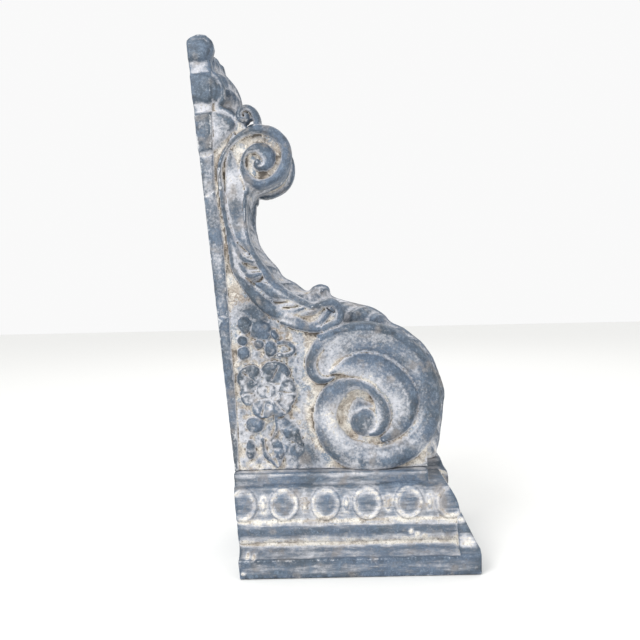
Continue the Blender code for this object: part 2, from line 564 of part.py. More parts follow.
def open_corners(solid):
    """Fills the corners where two inside corners of one grid square meet only across its diagonal."""
    for _ in range(6):
        inside = solid > 0
        changed = False
        for a, b in ((0, 1), (0, 2), (1, 2)):
            def part(i, j):
                cut = [slice(None)] * 3
                cut[a] = slice(i, inside.shape[a] - 1 + i)
                cut[b] = slice(j, inside.shape[b] - 1 + j)
                return tuple(cut)

            p, q, r, s = (inside[part(*at)] for at in ((0, 0), (1, 1), (1, 0), (0, 1)))
            for mask, target in ((p & q & ~r & ~s, part(1, 0)), (r & s & ~p & ~q, part(0, 0))):
                if mask.any():
                    view = solid[target]
                    view[mask] = NEARLY_OUT
                    changed = True
        if not changed:
            return


def surface(solid, xs, ys, zs):
    """Points and squares of the level set where the field changes sign."""
    open_corners(solid)
    inside = solid > 0
    shape = tuple(n - 1 for n in solid.shape)
    count = np.zeros(shape, np.uint8)
    corners = [(i, j, k) for i in (0, 1) for j in (0, 1) for k in (0, 1)]
    for i, j, k in corners:
        count += inside[i : i + shape[0], j : j + shape[1], k : k + shape[2]]
    cells = np.argwhere((count > 0) & (count < 8))
    values = [solid[cells[:, 0] + i, cells[:, 1] + j, cells[:, 2] + k] for i, j, k in corners]
    total = np.zeros((len(cells), 3))
    hits = np.zeros(len(cells))
    for a in range(8):
        for axis, bit in ((0, 4), (1, 2), (2, 1)):
            b = a | bit
            if b == a:
                continue
            va, vb = values[a], values[b]
            cross = (va > 0) != (vb > 0)
            t = np.where(cross, va / np.where(cross, va - vb, 1.0), 0.0)
            at = np.array(corners[a], float) + np.outer(t, np.eye(3)[axis])
            total += at * cross[:, None]
            hits += cross
    spots = cells + total / hits[:, None]
    step = np.array((xs[1] - xs[0], ys[1] - ys[0], zs[1] - zs[0]))
    points = np.array((xs[0], ys[0], zs[0])) + spots * step

    index = np.full(shape, -1, np.int64)
    index[tuple(cells.T)] = np.arange(len(cells))
    squares = []
    for axis in range(3):
        u, v = (axis + 1) % 3, (axis + 2) % 3
        low = [slice(1, n - 1) for n in solid.shape]
        low[axis] = slice(0, solid.shape[axis] - 1)
        high = list(low)
        high[axis] = slice(1, solid.shape[axis])
        first, last = inside[tuple(low)], inside[tuple(high)]
        for leaving in (True, False):
            at = np.argwhere((first & ~last) if leaving else (~first & last))
            if not len(at):
                continue
            base = at + 1
            base[:, axis] -= 1
            ring = []
            for du, dv in ((0, 0), (-1, 0), (-1, -1), (0, -1)):
                cell = base.copy()
                cell[:, u] += du
                cell[:, v] += dv
                ring.append(index[tuple(cell.T)])
            ring = ring if leaving else ring[::-1]
            squares.append(np.stack(ring, axis=1))
    return points, np.vstack(squares)


def outer_shell(count, squares):
    """The squares of the largest of the closed shells, so that no hollow stays sealed inside it."""
    ends = np.vstack([squares[:, [k, (k + 1) % 4]] for k in range(4)])
    label = np.arange(count)
    changed = True
    while changed:
        lower = label[ends].min(axis=1)
        new = label.copy()
        np.minimum.at(new, ends[:, 0], lower)
        np.minimum.at(new, ends[:, 1], lower)
        new = new[new]
        changed = (new != label).any()
        label = new
    shell = label[squares[:, 0]]
    return squares[shell == np.bincount(shell).argmax()]


def add_piece(name, field, low, high, half_width, triangles, colour):
    """One closed mesh object from a field, over a grid that reaches a little past its box."""
    xs, zs = (np.arange(a - GRID_ROOM, b + GRID_ROOM, GRID) for a, b in zip(low, high))
    cells = math.ceil((half_width + GRID_ROOM) / GRID)
    ys = (np.arange(-cells, cells) + 0.5) * GRID
    points, squares = surface(field(xs, ys, zs), xs, ys, zs)
    squares = outer_shell(len(points), squares)
    mesh = bpy.data.meshes.new(name)
    moved = (points - np.array((MIDDLE_X, 0.0, 0.0))) * 0.001
    mesh.from_pydata(moved.tolist(), [], squares.tolist())
    obj = bpy.data.objects.new(name, mesh)
    bpy.context.scene.collection.objects.link(obj)
    fewer = obj.modifiers.new("Fewer faces", "DECIMATE")
    fewer.ratio = triangles / (2 * len(squares))
    material = bpy.data.materials.new(name + "_paint")
    material.use_nodes = True
    shader = material.node_tree.nodes["Principled BSDF"]
    shader.inputs["Base Color"].default_value = (*colour, 1.0)
    shader.inputs["Roughness"].default_value = 0.6
    shader.inputs["Metallic"].default_value = 0.0
    mesh.materials.append(material)


def main():
    for obj in list(bpy.data.objects):
        bpy.data.objects.remove(obj)
    front = (SHEET_FRONT - back_x(SHEET_FOOT)) * UNIT + back_x(CAP_HEIGHT)
    add_piece("scroll_body", body_field, (back_x(HEIGHT), CAP_HEIGHT), (front, HEIGHT),
              PANEL + ROLL_RISE, BODY_TRIANGLES, (0.32, 0.35, 0.39))
    add_piece("moulded_cap", cap_field, (back_x(CAP_HEIGHT), 0.0), (SLAB_FRONT, CAP_HEIGHT),
              SLAB_HALF, CAP_TRIANGLES, (0.27, 0.31, 0.36))


main()
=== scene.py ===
"""Dresses the scroll corbel: the carving cut fine, and the worn blue-grey and cream paint on its zinc.

Shapes are worked out in millimetres over the side view, x from the flat back to the carved front and
z up from the underside of the cap, and are written in metres in the frame of the CAD model.
"""

import math

import bmesh
import bpy
import numpy as np
from mathutils import Matrix, Vector


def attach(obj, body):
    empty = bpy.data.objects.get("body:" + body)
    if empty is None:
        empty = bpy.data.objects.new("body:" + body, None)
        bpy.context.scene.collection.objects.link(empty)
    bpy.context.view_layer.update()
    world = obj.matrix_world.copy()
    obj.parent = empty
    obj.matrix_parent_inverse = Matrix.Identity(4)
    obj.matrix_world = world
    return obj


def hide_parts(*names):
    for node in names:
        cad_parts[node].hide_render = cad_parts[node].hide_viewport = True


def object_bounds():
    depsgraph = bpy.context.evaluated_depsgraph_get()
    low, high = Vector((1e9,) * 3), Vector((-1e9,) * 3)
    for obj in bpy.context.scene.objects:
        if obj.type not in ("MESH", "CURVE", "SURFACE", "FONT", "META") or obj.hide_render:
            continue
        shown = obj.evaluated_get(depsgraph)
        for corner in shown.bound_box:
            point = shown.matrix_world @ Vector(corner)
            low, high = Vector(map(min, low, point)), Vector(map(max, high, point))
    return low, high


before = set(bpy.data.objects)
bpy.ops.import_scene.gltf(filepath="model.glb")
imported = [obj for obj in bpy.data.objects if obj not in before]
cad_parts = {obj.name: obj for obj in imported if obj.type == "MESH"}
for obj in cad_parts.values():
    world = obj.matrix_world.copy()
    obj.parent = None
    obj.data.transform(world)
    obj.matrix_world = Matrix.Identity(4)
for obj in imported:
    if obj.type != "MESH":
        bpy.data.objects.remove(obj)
CAD_LOW, CAD_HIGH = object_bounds()

bl_info = {
    "name": "Scroll corbel",
    "version": (1, 0, 0),
    "blender": (4, 5, 0),
    "location": "View3D > Sidebar > Corbel",
    "description": "Carves and paints a scroll corbel standing on its moulded cap",
    "category": "Add Mesh",
}

# Overall sizes
HEIGHT = 603.0
LEAN = math.tan(math.radians(4.8))
CAP_HEIGHT = 106.0
SEAM = 0.15
MIDDLE_X = 107.5
PANEL = 60.0
STRIP_RISE = 3.0
FIELD_RISE = 4.0
ROLL_RISE = 14.0
CHANNEL_DEPTH = 9.0
CHEEK_INNER = 46.0
CHEEK_ROUND = 5.0
MM = 0.001
PER_METRE = 1000

# How far the field is followed outside a band, and inside the outline's seams
OUTLINE_REACH = 60.0
SEAM_REACH = 14.0

# The cap's side moulding, by heights and half widths
SLAB_HALF = 117.0
SLAB_HEIGHT = 20.0
SLAB_FRONT = 265.0
FRONT_SLAB_HEIGHT = 26.0
COVE_TOP = 31.0
COVE_HALF = 94.0
TORUS_TOP = 51.0
TORUS_HALF = 97.0
TORUS_BULGE = 5.0
FILLET_TOP = 55.0
FILLET_HALF = 93.0
EGG_TOP = 94.0
EGG_LOW_HALF = 92.0
EGG_HIGH_HALF = 82.0
LEDGE_HALF = 74.0
LEDGE_FLARE = 6.0
LEDGE_FRONT = 213.0
MOULDING_FRONT = 245.0
OVOLO_FRONT = 232.0
RAKE_STEP = 1.0
RAKE_TOP = 66.0
PLAIN_FOOT = 22.0
PLAIN_NARROWING = 30.0
PLAIN_LAP = 3.0
CORNER = 3.5
TIP_HALF = 20.0
TIP_STANDS = 9.0
TIP_FOOT = 70.0
TIP_MIDDLE = 90.0
TIP_WIDEST = 92.0
TIP_TOP = 93.0

# The egg-and-dart row
EGG_PITCH = 46.6
EGG_FIRST = 2.0
EGG_COUNT = 6
EGG_CENTRE_Z = (FILLET_TOP + EGG_TOP) / 2
EGG_HALF_WIDE = 17.0
EGG_HALF_TALL = 18.6
EGG_RIM = 5.5
EGG_RISE = 3.6
EGG_SHORTER = 3.0
DART_HALVES = (3.0, 8.0)
DART_RISE = 3.0
BAND_EDGE = 1.5


# Straight steps in each span of a smooth curve
PER_SPAN = 8


def back_x(z):
    """The back leans: the foot of the tail stands forward of its tip."""
    return -LEAN * z


def smooth_path(points, per_span=PER_SPAN):
    """Catmull-Rom curve through rows of numbers, the first two of them a place."""
    rows = np.array(points, float)
    ends = np.vstack([2 * rows[0] - rows[1], rows, 2 * rows[-1] - rows[-2]])
    out = []
    for i in range(1, len(ends) - 2):
        a, b, c, d = ends[i - 1], ends[i], ends[i + 1], ends[i + 2]
        for k in range(per_span):
            t = k / per_span
            row = 0.5 * ((2 * b) + (c - a) * t + (2 * a - 5 * b + 4 * c - d) * t * t)
            out.append(row + 0.5 * (3 * b - a - 3 * c + d) * t**3)
    out.append(ends[-2])
    return np.array(out)


def scroll_path(centre, start, step, radii, halves):
    """A spiral that winds clockwise, one radius and one half width for each step of its angle."""
    rows = []
    for i, (radius, half) in enumerate(zip(radii, halves)):
        a = math.radians(start - step * i)
        rows.append((centre[0] + radius * math.cos(a), centre[1] + radius * math.sin(a), half))
    return smooth_path(rows)


def smooth_step(t):
    t = np.clip(t, 0.0, 1.0)
    return t * t * (3 - 2 * t)


def bell(t):
    return np.exp(-(t**2))


class Noise:
    """Smooth value noise on a repeating lattice, between -1 and 1."""

    SIZE = 32

    def __init__(self, seed):
        self.lattice = np.random.RandomState(seed).uniform(-1, 1, (self.SIZE,) * 3)

    def at(self, places, scale):
        spots = places / scale
        low = np.floor(spots).astype(int)
        part = smooth_step(spots - low)
        total = np.zeros(spots.shape[:-1])
        for i in (0, 1):
            for j in (0, 1):
                for k in (0, 1):
                    share = np.ones(total.shape)
                    for axis, corner in enumerate((i, j, k)):
                        share = share * (part[..., axis] if corner else 1 - part[..., axis])
                    cell = (low + (i, j, k)) % self.SIZE
                    total += share * self.lattice[cell[..., 0], cell[..., 1], cell[..., 2]]
        return total


class Side:
    """Heights over the side view, with how far inside the outline each place lies."""

    def __init__(self, xs, zs):
        self.xs = xs
        self.zs = zs
        self.x, self.z = np.meshgrid(xs, zs, indexing="ij")
        self.height = np.full(self.x.shape, PANEL)
        self.inside = np.full(self.x.shape, -OUTLINE_REACH)

    def window(self, path, reach):
        low = path[:, :2].min(axis=0) - reach
        high = path[:, :2].max(axis=0) + reach
        i0, i1 = np.searchsorted(self.xs, (low[0], high[0]))
        k0, k1 = np.searchsorted(self.zs, (low[1], high[1]))
        return slice(i0, i1), slice(k0, k1)

    def near(self, path, reach=0.0):
        """Distance to the path in its own half widths, the room left inside it, and how far along."""
        where = self.window(path, path[:, 2].max() + reach)
        x, z = self.x[where], self.z[where]
        best = np.full(x.shape, 1e3)
        room = np.full(x.shape, -1e3)
        for (x0, z0, w0), (x1, z1, w1) in zip(path[:, :3], path[1:, :3]):
            dx, dz = x1 - x0, z1 - z0
            t = np.clip(((x - x0) * dx + (z - z0) * dz) / max(dx * dx + dz * dz, 1e-9), 0, 1)
            away = np.hypot(x - x0 - t * dx, z - z0 - t * dz)
            half = w0 + t * (w1 - w0)
            np.minimum(best, away / half, out=best)
            np.maximum(room, half - away, out=room)
        return where, best, room

    def roll(self, path, rise, floor=0.0, outline=False, flat=1.0):
        """A rounded band along the path, from the floor beside it up to its crest."""
        where, q, room = self.near(path, OUTLINE_REACH if outline else 0.0)
        crown = np.sqrt(np.clip(1 - q ** (2 * flat), 0, 1))
        shape = PANEL + floor + (rise - floor) * crown
        self.height[where] = np.where(q < 1, np.maximum(self.height[where], shape), self.height[where])
        if outline:
            self.inside[where] = np.maximum(self.inside[where], room)

    def carve(self, path, depth, sharp=1.5):
        """A hollow along the path, with soft sides."""
        where, q, _ = self.near(path)
        self.height[where] -= depth * np.clip(1 - q * q, 0, 1) ** sharp

    def dome(self, centre, halves, rise, floor=0.0, turn=0.0, lip=0.0, dish=0.0):
        """A raised oval, its long axis turned by some degrees, with a lip or a dished middle if wanted."""
        reach = max(halves)
        where = self.window(np.array([centre]), reach)
        dx, dz = self.x[where] - centre[0], self.z[where] - centre[1]
        c, s = math.cos(math.radians(turn)), math.sin(math.radians(turn))
        q = np.hypot((c * dx + s * dz) / halves[0], (c * dz - s * dx) / halves[1])
        crown = np.sqrt(np.clip(1 - q * q, 0, 1)) - dish * np.clip(1 - (q / 0.7) ** 2, 0, 1)
        shape = PANEL + floor + (rise - floor) * crown + lip * np.exp(-(((q - 0.85) / 0.09) ** 2))
        self.height[where] = np.where(q < 1, np.maximum(self.height[where], shape), self.height[where])

    def plateau(self, corners, rise, shoulder):
        """Lifts a closed shape by the rise, over a soft shoulder."""
        self.height += rise * smooth_step(self.area(corners) / shoulder) ** 0.7

    def ribbon(self, centre, rows, crest, ledge):
        """A band round the volute: a rounded crest outside, a slope inside it and a thin lip at the end.

        Each row gives an angle, the outer and inner radius and the crest's share of the width.
        """
        angles, outers, inners, shares = np.array(rows[::-1], float).T
        dx, dz = self.x - centre[0], self.z - centre[1]
        radius = np.hypot(dx, dz)
        angle = np.degrees(np.arctan2(dz, dx))
        angle = np.where(angle < angles[0], angle + 360, angle)
        outer, inner = np.interp(angle, angles, outers), np.interp(angle, angles, inners)
        share = np.interp(angle, angles, shares)
        s = (outer - radius) / (outer - inner)
        t = np.clip(s / share, 0, 1)
        rising = crest * np.sqrt(np.clip(1 - (1 - t / 0.5) ** 2, 0, 1))
        falling = ledge + (crest - ledge) * (0.5 - 0.5 * np.cos(2 * math.pi * t))
        shape = np.where(t < 0.5, rising, falling)
        u = np.clip((s - share) / (1 - share), 0, 1)
        slope = ledge - (ledge - RIBBON_FOOT) * u**0.8
        slope += RIBBON_LIP * np.exp(-(((u - RIBBON_LIP_AT) / RIBBON_LIP_HALF) ** 2))
        fade = smooth_step((angles[0] + RIBBON_FADE - angle) / RIBBON_FADE)
        shape = np.where(s > share, slope, shape) - RIBBON_END_DROP * fade
        taken = (s > 0) & (s < 1) & (angle <= angles[-1])
        self.height = np.where(taken, np.maximum(self.height, PANEL + shape), self.height)

    def deepen(self, reach):
        """Takes the seams between overlapping shapes out of the distance to the outline."""
        step = self.xs[1] - self.xs[0]
        count = int(reach / step) + 1
        outside = np.where(self.inside <= 0, self.inside, 1e3)
        wide = np.pad(outside, count, constant_values=1e3)
        best = np.full(self.inside.shape, reach)
        n, m = self.inside.shape
        for i in range(-count, count + 1):
            for k in range(-count, count + 1):
                away = step * math.hypot(i, k)
                if away < reach + step:
                    beside = wide[count + i : count + i + n, count + k : count + k + m]
                    np.minimum(best, beside + away, out=best)
        self.inside = np.where(self.inside > 0, np.maximum(self.inside, best), self.inside)

    def area(self, corners):
        """Distance to the edge of a closed shape, positive inside it."""
        ends = np.array(corners, float)
        x, z = self.x, self.z
        away = np.full(x.shape, 1e3)
        crossed = np.zeros(x.shape, bool)
        for (x0, z0), (x1, z1) in zip(ends, np.roll(ends, -1, axis=0)):
            dx, dz = x1 - x0, z1 - z0
            t = np.clip(((x - x0) * dx + (z - z0) * dz) / max(dx * dx + dz * dz, 1e-9), 0, 1)
            np.minimum(away, np.hypot(x - x0 - t * dx, z - z0 - t * dz), out=away)
            if abs(dz) > 1e-9:
                crossed ^= ((z0 > z) != (z1 > z)) & (x < x0 + (z - z0) * dx / dz)
        return np.where(crossed, away, -away)


# The volute at the foot: its outer band by angle, radii and share of the crest, then its inner ring
VOLUTE_CENTRE = (142.0, 162.5)
VOLUTE_BAND = ((118, 113, 79, 0.34), (110, 114, 79.5, 0.34), (99, 114, 81, 0.36),
               (87, 114, 82, 0.37), (73, 112, 80, 0.39), (61, 109, 78, 0.42), (48, 105, 75, 0.47),
               (35, 100, 71.5, 0.52), (23, 95, 68, 0.57), (11, 90.5, 64, 0.62), (-1, 86, 57, 0.66),
               (-15, 81.5, 48, 0.72), (-30, 76.5, 41, 0.78), (-45, 70, 36, 0.82),
               (-73, 61.5, 28.5, 0.86), (-104, 59, 24, 0.88), (-125, 58, 25, 0.9))
RIBBON_LEDGE = 11.0
RIBBON_FOOT = 5.0
RIBBON_LIP = 0.4
RIBBON_LIP_AT = 0.92
RIBBON_LIP_HALF = 0.06
RIBBON_FADE = 32.0
RIBBON_END_DROP = 9.0
VOLUTE_RIM = ((-147, 57.5), (-165, 57.5), (-183, 58.5), (-197, 59.5), (-212, 60), (-225, 58))
RING_RADII = (44.2, 41.4, 41.5, 42, 44, 46, 47.3, 45.6, 39.6, 31, 24.9, 21, 19.3, 17.9, 16.3)
RING_HALVES = (16.2, 17.2, 16.4, 15.2, 13.8, 13.4, 12.2, 8.2, 6.2, 6.4, 9, 10.3, 9, 6.7, 3.6)
HOOK = ((108, 214, 1.5), (100, 211, 4), (91, 212, 6), (84, 219, 6.8), (82, 230, 7), (86, 241, 7),
        (94, 252, 8), (106, 261, 9), (120, 268, 8))
HOOK_BED = ((99, 222, 9), (101, 233, 12), (108, 243, 14), (118, 250, 14))
SECOND_BAND = ((124, 68, 1.5), (114, 66.5, 6), (103, 64.5, 11.5), (90, 62.5, 15), (75, 59.5, 17),
               (60, 56, 18), (45, 53.5, 18), (30, 51.5, 17.5), (15, 47.5, 15), (0, 43.5, 12.5),
               (-15, 38.5, 9.5), (-30, 34, 6.5), (-45, 30.5, 4))
SECOND_CREASE = ((105, 67), (85, 65), (65, 61), (45, 58), (25, 54), (5, 48), (-15, 41))

CREASE_HALF = 2.2
CREASE_DEPTH = 0.5
VOLUTE_POCKET = ((150, 188, 9), (134, 190, 10), (122, 178, 12), (119, 162, 11), (128, 146, 9))
POCKET_DEPTH = 7.0
BALL_CENTRE = (142.5, 160.5)
BALL_HALF = 16.5
BALL_RISE = 13.5
BALL_FLOOR = 1.0
RING_START = -75.0
RING_STEP = 25.0
RING_RISE = 12.5
BAND_FLOOR = 2.0
SECOND_RISE = 12.0
HOOK_RISE = 12.0
HOOK_BED_RISE = 7.5
HOOK_BED_FLOOR = 3.0

# The scroll's head, its two edges and the husks between them
HEAD_CENTRE = (27.0, 459.0)
HEAD_RADII = (51.5, 42.5, 37, 34.8, 35.8, 37, 35.8, 31.8, 28.3, 25.6, 24.5, 23, 19.5, 17, 16.6,
              15.8, 15.1, 14.2, 13.1, 11.8, 10, 8.2, 6.8, 5)
HEAD_HALVES = (3.3, 3.2, 3.9, 4.2, 5.3, 6.3, 6.4, 6.4, 6.2, 5, 5.5, 6.5, 5, 3.2, 2.8, 3.8, 6.1, 8.2,
               8.9, 7.8, 6, 4.3, 3.3, 3)
HEAD_START = -145.0
HEAD_STEP = 30.0
HEAD_TURNS = 12
HEAD_RISE = 13.0
EYE_CENTRE = (27, 456.5)
EYE_HALVES = (4.8, 5.6)
EYE_RISE = 14.0
EYE_FLOOR = 6.0
HEAD_CORNER_RISE = 10.0
EDGE_RISE = 10.5
END_HOOK_RISE = 12.0
END_HOOK_FLOOR = 1.0
HUSK_RISE = 10.0
HOLLOW_DEPTH = 5.0
HEAD_CORNER = ((9, 449, 5), (12.5, 440, 4.5), (15, 432, 3.5), (14, 424, 3.5))
BACK_EDGE = ((-15, 430, 3.5), (-12, 404, 3.5), (-8, 381, 3.5), (-5, 358, 4), (-2, 341, 4.5),
             (5, 328, 5.5), (17, 312, 6.5), (30, 299, 7.5), (46, 288, 7.5), (62, 280, 7),
             (78, 272, 6), (92, 270, 5.5))
FRONT_EDGE = ((12.5, 425, 3), (11, 410, 2.8), (10.5, 395, 2.8), (12, 380, 3), (15.5, 366, 3.2),
              (21.5, 352, 4), (30, 338, 4.8), (40, 323, 5.5), (52, 312, 5.5), (66, 303, 5),
              (80, 297, 4.5), (92, 295, 4))
END_HOOK = ((84, 295, 3.5), (98, 298, 4.5), (109, 298, 5), (116, 289, 5.5), (112.5, 277, 5.5),
            (98, 270, 5.5))
SCROLL_FIELD = ((-14, 445), (-16, 465), (0, 492), (27, 459), (22, 436), (12, 428), (9, 390),
                (15, 355), (34, 327), (60, 303), (98, 295), (113, 285), (98, 270), (62, 278),
                (28, 300), (0, 335), (-8, 381))
HUSKS = (((-4, 470, 3), (-3, 456, 7), (0.5, 434, 11), (0.5, 415, 10.5), (2, 395, 9.5), (6, 378, 8),
          (12, 366, 5), (17.5, 356, 2)),
         ((-7, 385, 2), (-2, 366, 4), (6, 352, 4), (18, 347, 2)),
         ((-4, 358, 2), (4, 343, 3.5), (14, 332, 4), (27, 333, 2)),
         ((22, 322, 2), (31, 318, 5), (42, 311, 6), (58, 305, 2)),
         ((44, 291, 2), (60, 289, 4), (74, 293, 2)),
         ((50, 278, 3), (73, 272, 4.5), (93, 276, 4), (103, 287, 3)))
HOLLOWS = (((-12, 447, 4), (-13, 430, 4), (-8, 408, 4), (-2, 383, 3.5), (6, 366, 3), (16, 356, 1.5)),
           ((-2, 363, 1.5), (5, 351, 3), (14, 342, 4), (26, 340, 1.5)),
           ((-6, 357, 2), (-2, 345, 3), (6, 331, 4.5), (17, 322, 5), (26, 326, 3), (31, 332, 1)),
           ((6, 327, 2), (18, 313, 3.5), (32, 303, 4), (46, 300, 3), (57, 301, 1)),
           ((52, 294, 1.5), (62, 294, 2.5), (71, 297, 1)),
           ((50, 283, 2), (70, 281, 5), (86, 283, 5.5), (98, 291, 3)))

# The curl on the brow and the leafy lobes of the tail
BROW_CURL = ((27, 499, 4.5), (26.5, 509, 4.3), (23, 516, 4), (16.5, 520, 4), (10, 518.5, 4),
             (7, 513, 4), (9, 507.5, 4), (14, 507, 3.6), (16, 511, 2.6), (14, 513.5, 1.8))
TOP_LOBE = ((-52, 594), (-42, 597), (-31, 597.5), (-23, 591), (-22, 584), (-25, 573), (-33, 570),
            (-52, 570))
MIDDLE_LOBE = ((-50, 559), (-35, 561.5), (-26, 561), (-18, 556), (-12.5, 545), (-12.5, 536),
               (-17, 527), (-27, 524), (-50, 524))
LOW_LOBE = ((-48, 516), (-26.5, 518.5), (-12.7, 518), (-1.4, 512), (5, 503), (2.7, 495), (-6, 486),
            (-14, 478.5), (-22, 471), (-45, 467))
TAIL_OUTLINE = ((-60, 595), (-50, 595), (-46.5, 599), (-37, HEIGHT), (-29, 602), (-21.5, 596),
                (-20, 588), (-24, 574), (-22, 563), (-14, 557), (-9, 545), (-9, 533), (-14, 524),
                (-6, 519), (0, 515), (8, 506), (16, 500))
BODY_FOOT = ((0, 450), (0, 400), (10, 345), (40, 310), (100, 285), (115, 262), (190, 200), (216, 150),
             (214, 136), (214, 121), (216, 96), (-60, 96))
CURL_RISE = 8.0
LOBE_RISE = 6.0
LOBE_SHOULDER = 7.0
STRIP_HEIGHTS = (96, 131, 189, 270, 367, 430)
STRIP_EDGES = (-3, -3, -5, -9, -14, -22)
STRIP_SHOULDER = 2.5
STRIP_SEAM_HALF = 1.5
STRIP_SEAM_DEPTH = 1.5
STRIP_SEAMS = (((-42, 466), (-30, 468), (-19, 474)),
               ((-42, 421), (-31, 423), (-21, 431)),
               ((-26, 286), (-8, 284)))

# The sprig on the side panel
FLOWER_CENTRE = (30.0, 200.0)
PETALS = ((11, 215, 14, 12, 40), (41, 220, 15.5, 12, -10), (54, 197, 9.5, 16, 0), (46, 180, 12, 10, 20),
          (26, 179, 12, 11, 0), (9, 196, 8.5, 13, 0))
PETAL_SPREAD = 1.08
PETAL_FOLD = ((0.6, 1.0), (0.9, 1.8), (1.15, 2.4), (1.35, 2.8))
FOLD_DEPTH = 3.0
FLOWER_BED = (30, 28)
FLOWER_BED_RISE = 6.5
PETAL_RISE = 9.0
PETAL_FLOOR = 4.5
PETAL_LIP = 1.0
PETAL_DISH = 0.3
HEART_HALVES = (12.0, 12.0 * 0.8)
HEART_RISE = 9.0
HEART_FLOOR = 4.0
HEART_LIP = 1.2
HEART_DISH = 0.6
PISTIL_CENTRE = (28, 200)
PISTIL_HALVES = (4.5, 3.5)
PISTIL_RISE = 8.0
PISTIL_FLOOR = 3.0
BUD_RISE = 7.0
SPRAY_RISE = 5.0
SPRIG_EDGES = (-4, 78, 292)

# Unevenness: a seed, how far apart its waves are and how high
CRUMPLES = ((11, 6.5, 2.0), (12, 3.2, 1.1))
HAND_WAVES = ((5, 22.0, 0.5), (6, 7.0, 0.25))
CAP_BEND = (9, 35.0, 0.7)
CAP_DENTS = (8, 18.0, 0.5)

BUDS = ((25, 268, 12.5, 11.5, 0), (23, 253, 6, 6, 0), (36, 247, 8, 9, 0), (41, 263, 4, 7, 30),
        (7, 275, 8, 10, 20), (4, 257, 6, 6, 0), (5, 243, 7.5, 8, 0), (16, 159.5, 11, 10, 0),
        (10, 131, 6, 12, 0))
SPRAYS = (((45, 254, 2.5), (53, 254, 2.8), (60, 250, 3), (62, 244, 3), (56, 240, 3), (46, 240, 2.5)),
          ((40, 172, 2), (41, 155, 2.5), (35, 141, 2)),
          ((43, 164, 3), (55, 154, 10), (70, 135, 1.5)),
          ((37, 142, 3.5), (43, 129, 6.5), (43, 112, 1.5)),
          ((24, 142, 2), (28, 124, 3), (41, 110, 1.5)))

# The acanthus leaf down the front, by its middle line: x, z and half width
LEAF = ((-34, 598, 24), (-24, 593, 30), (-19, 584, 34), (-15, 575, 36), (-6, 564, 36), (0, 555, 36),
        (4, 545, 34), (6, 533, 32), (8, 520, 28), (14, 507, 26), (28, 499.5, 25), (44, 495, 24),
        (56, 485, 24), (61, 468, 25), (59, 452, 28), (50, 440, 32), (34, 432, 34), (20, 426, 34),
        (14.5, 410, 34), (13, 398, 36), (19, 383, 36), (22, 370, 36), (30, 356, 36), (43, 341, 36),
        (50, 330, 34), (64, 322, 28), (78, 312, 22), (86, 317, 20), (95, 320, 20), (105, 316, 20),
        (108, 306, 22), (122, 300, 34), (140, 295, 38), (158, 290, 38), (172, 281, 32),
        (180, 272, 28), (195, 264.5, 24), (208, 254.5, 22), (220, 243.5, 20), (231, 227, 19),
        (239, 206, 18), (245, 186, 18), (243.5, 168, 18), (242, 153, 19), (240, 139, 20),
        (237.5, 122, 22), (234, 108, 24), (234, 98, 26))
LEAF_RETURN = ((150, 104), (150, 190), (90, 270), (40, 305), (5, 345), (-2, 400), (0, 450),
               (-12, 500), (-36, 590))
LEAF_LOBE = 26.0
LEAF_SINK = 1.5
LOBE_SWEEP = 0.6
LOBE_DROP = 1.5
LOBE_EASE = 0.8
FRINGE = 0.12
EDGE_DROP = 8.0
EDGE_CUT = 60.0
VEINS = 3
VEIN_SWEEP = 1.8
VEIN_DEPTH = 0.9
VEIN_FADE = 0.3
VEINS_FLOW_FROM = 2.8
RIB_RISE = 1.5
RIB_HALF = 3.0

# The paint's wear, below 0 where it is rubbed more: along the back, the body's foot, the eggs and darts
BACK_WEAR = -0.5
BACK_WEAR_REACH = 11.0
FOOT_WEAR = -1.8
FOOT_WEAR_REACH = 9.0
EGG_WEAR = -2.2
DART_WEAR = -3.0

# Places that hands and weather have rubbed more (below 0) or less: x, z, reach and amount
HANDLED = ((98, 168, 20, -1.6), (103, 138, 22, -1.3), (216, 190, 34, 2.2), (190, 115, 26, 0.7),
           (150, 285, 30, 0.5), (-30, 545, 24, 1.2), (-38, 590, 20, 1.0), (-24, 300, 60, -0.2),
           (-30, 452, 26, -0.4), (6, 404, 13, 1.3), (-6, 440, 12, -1.4), (36, 495, 18, 1.1),
           (48, 470, 14, 0.6), (12, 478, 10, -1.0), (22, 290, 24, 2.8), (80, 124, 22, 2.4),
           (41, 220, 12, 1.2), (12, 214, 12, 1.4), (212, 124, 14, -3.2), (142, 160, 13, -0.7),
           (8, 125, 14, -0.5), (60, 150, 12, 0.6), (130, 255, 26, 0.9), (175, 240, 32, 1.4),
           (185, 190, 22, -1.4), (150, 216, 18, -1.4), (115, 223, 13, -1.6), (54, 293, 16, -1.6),
           (15, 21, 2, -3.6), (8, 22, 2, -3.4), (3, 6, 3, -2.5), (190, 43, 2.6, -3.6),
           (197, 40, 2.6, -3.6), (205, 38, 2.6, -3.2))
# Streaks along the cap's mouldings: height, reach and amount
STREAKS = ((104, 3, -1.5), (98, 5, 1.0), (55, 3, -1.7), (45, 5, 0.8), (33, 6.5, -1.7), (25.5, 3, 1.2))


def wobble(x, z, seed, reach, size):
    """Hand-made unevenness over the side view."""
    places = np.stack([x, z, np.full(x.shape, 3.3)], axis=-1)
    return Noise(seed).at(places, reach) * size


def polar_path(centre, rows):
    """A curve through places given by angle, radius and half width about a centre."""
    out = []
    for angle, radius, *half in rows:
        a = math.radians(angle)
        out.append((centre[0] + radius * math.cos(a), centre[1] + radius * math.sin(a), *half))
    return smooth_path(out)


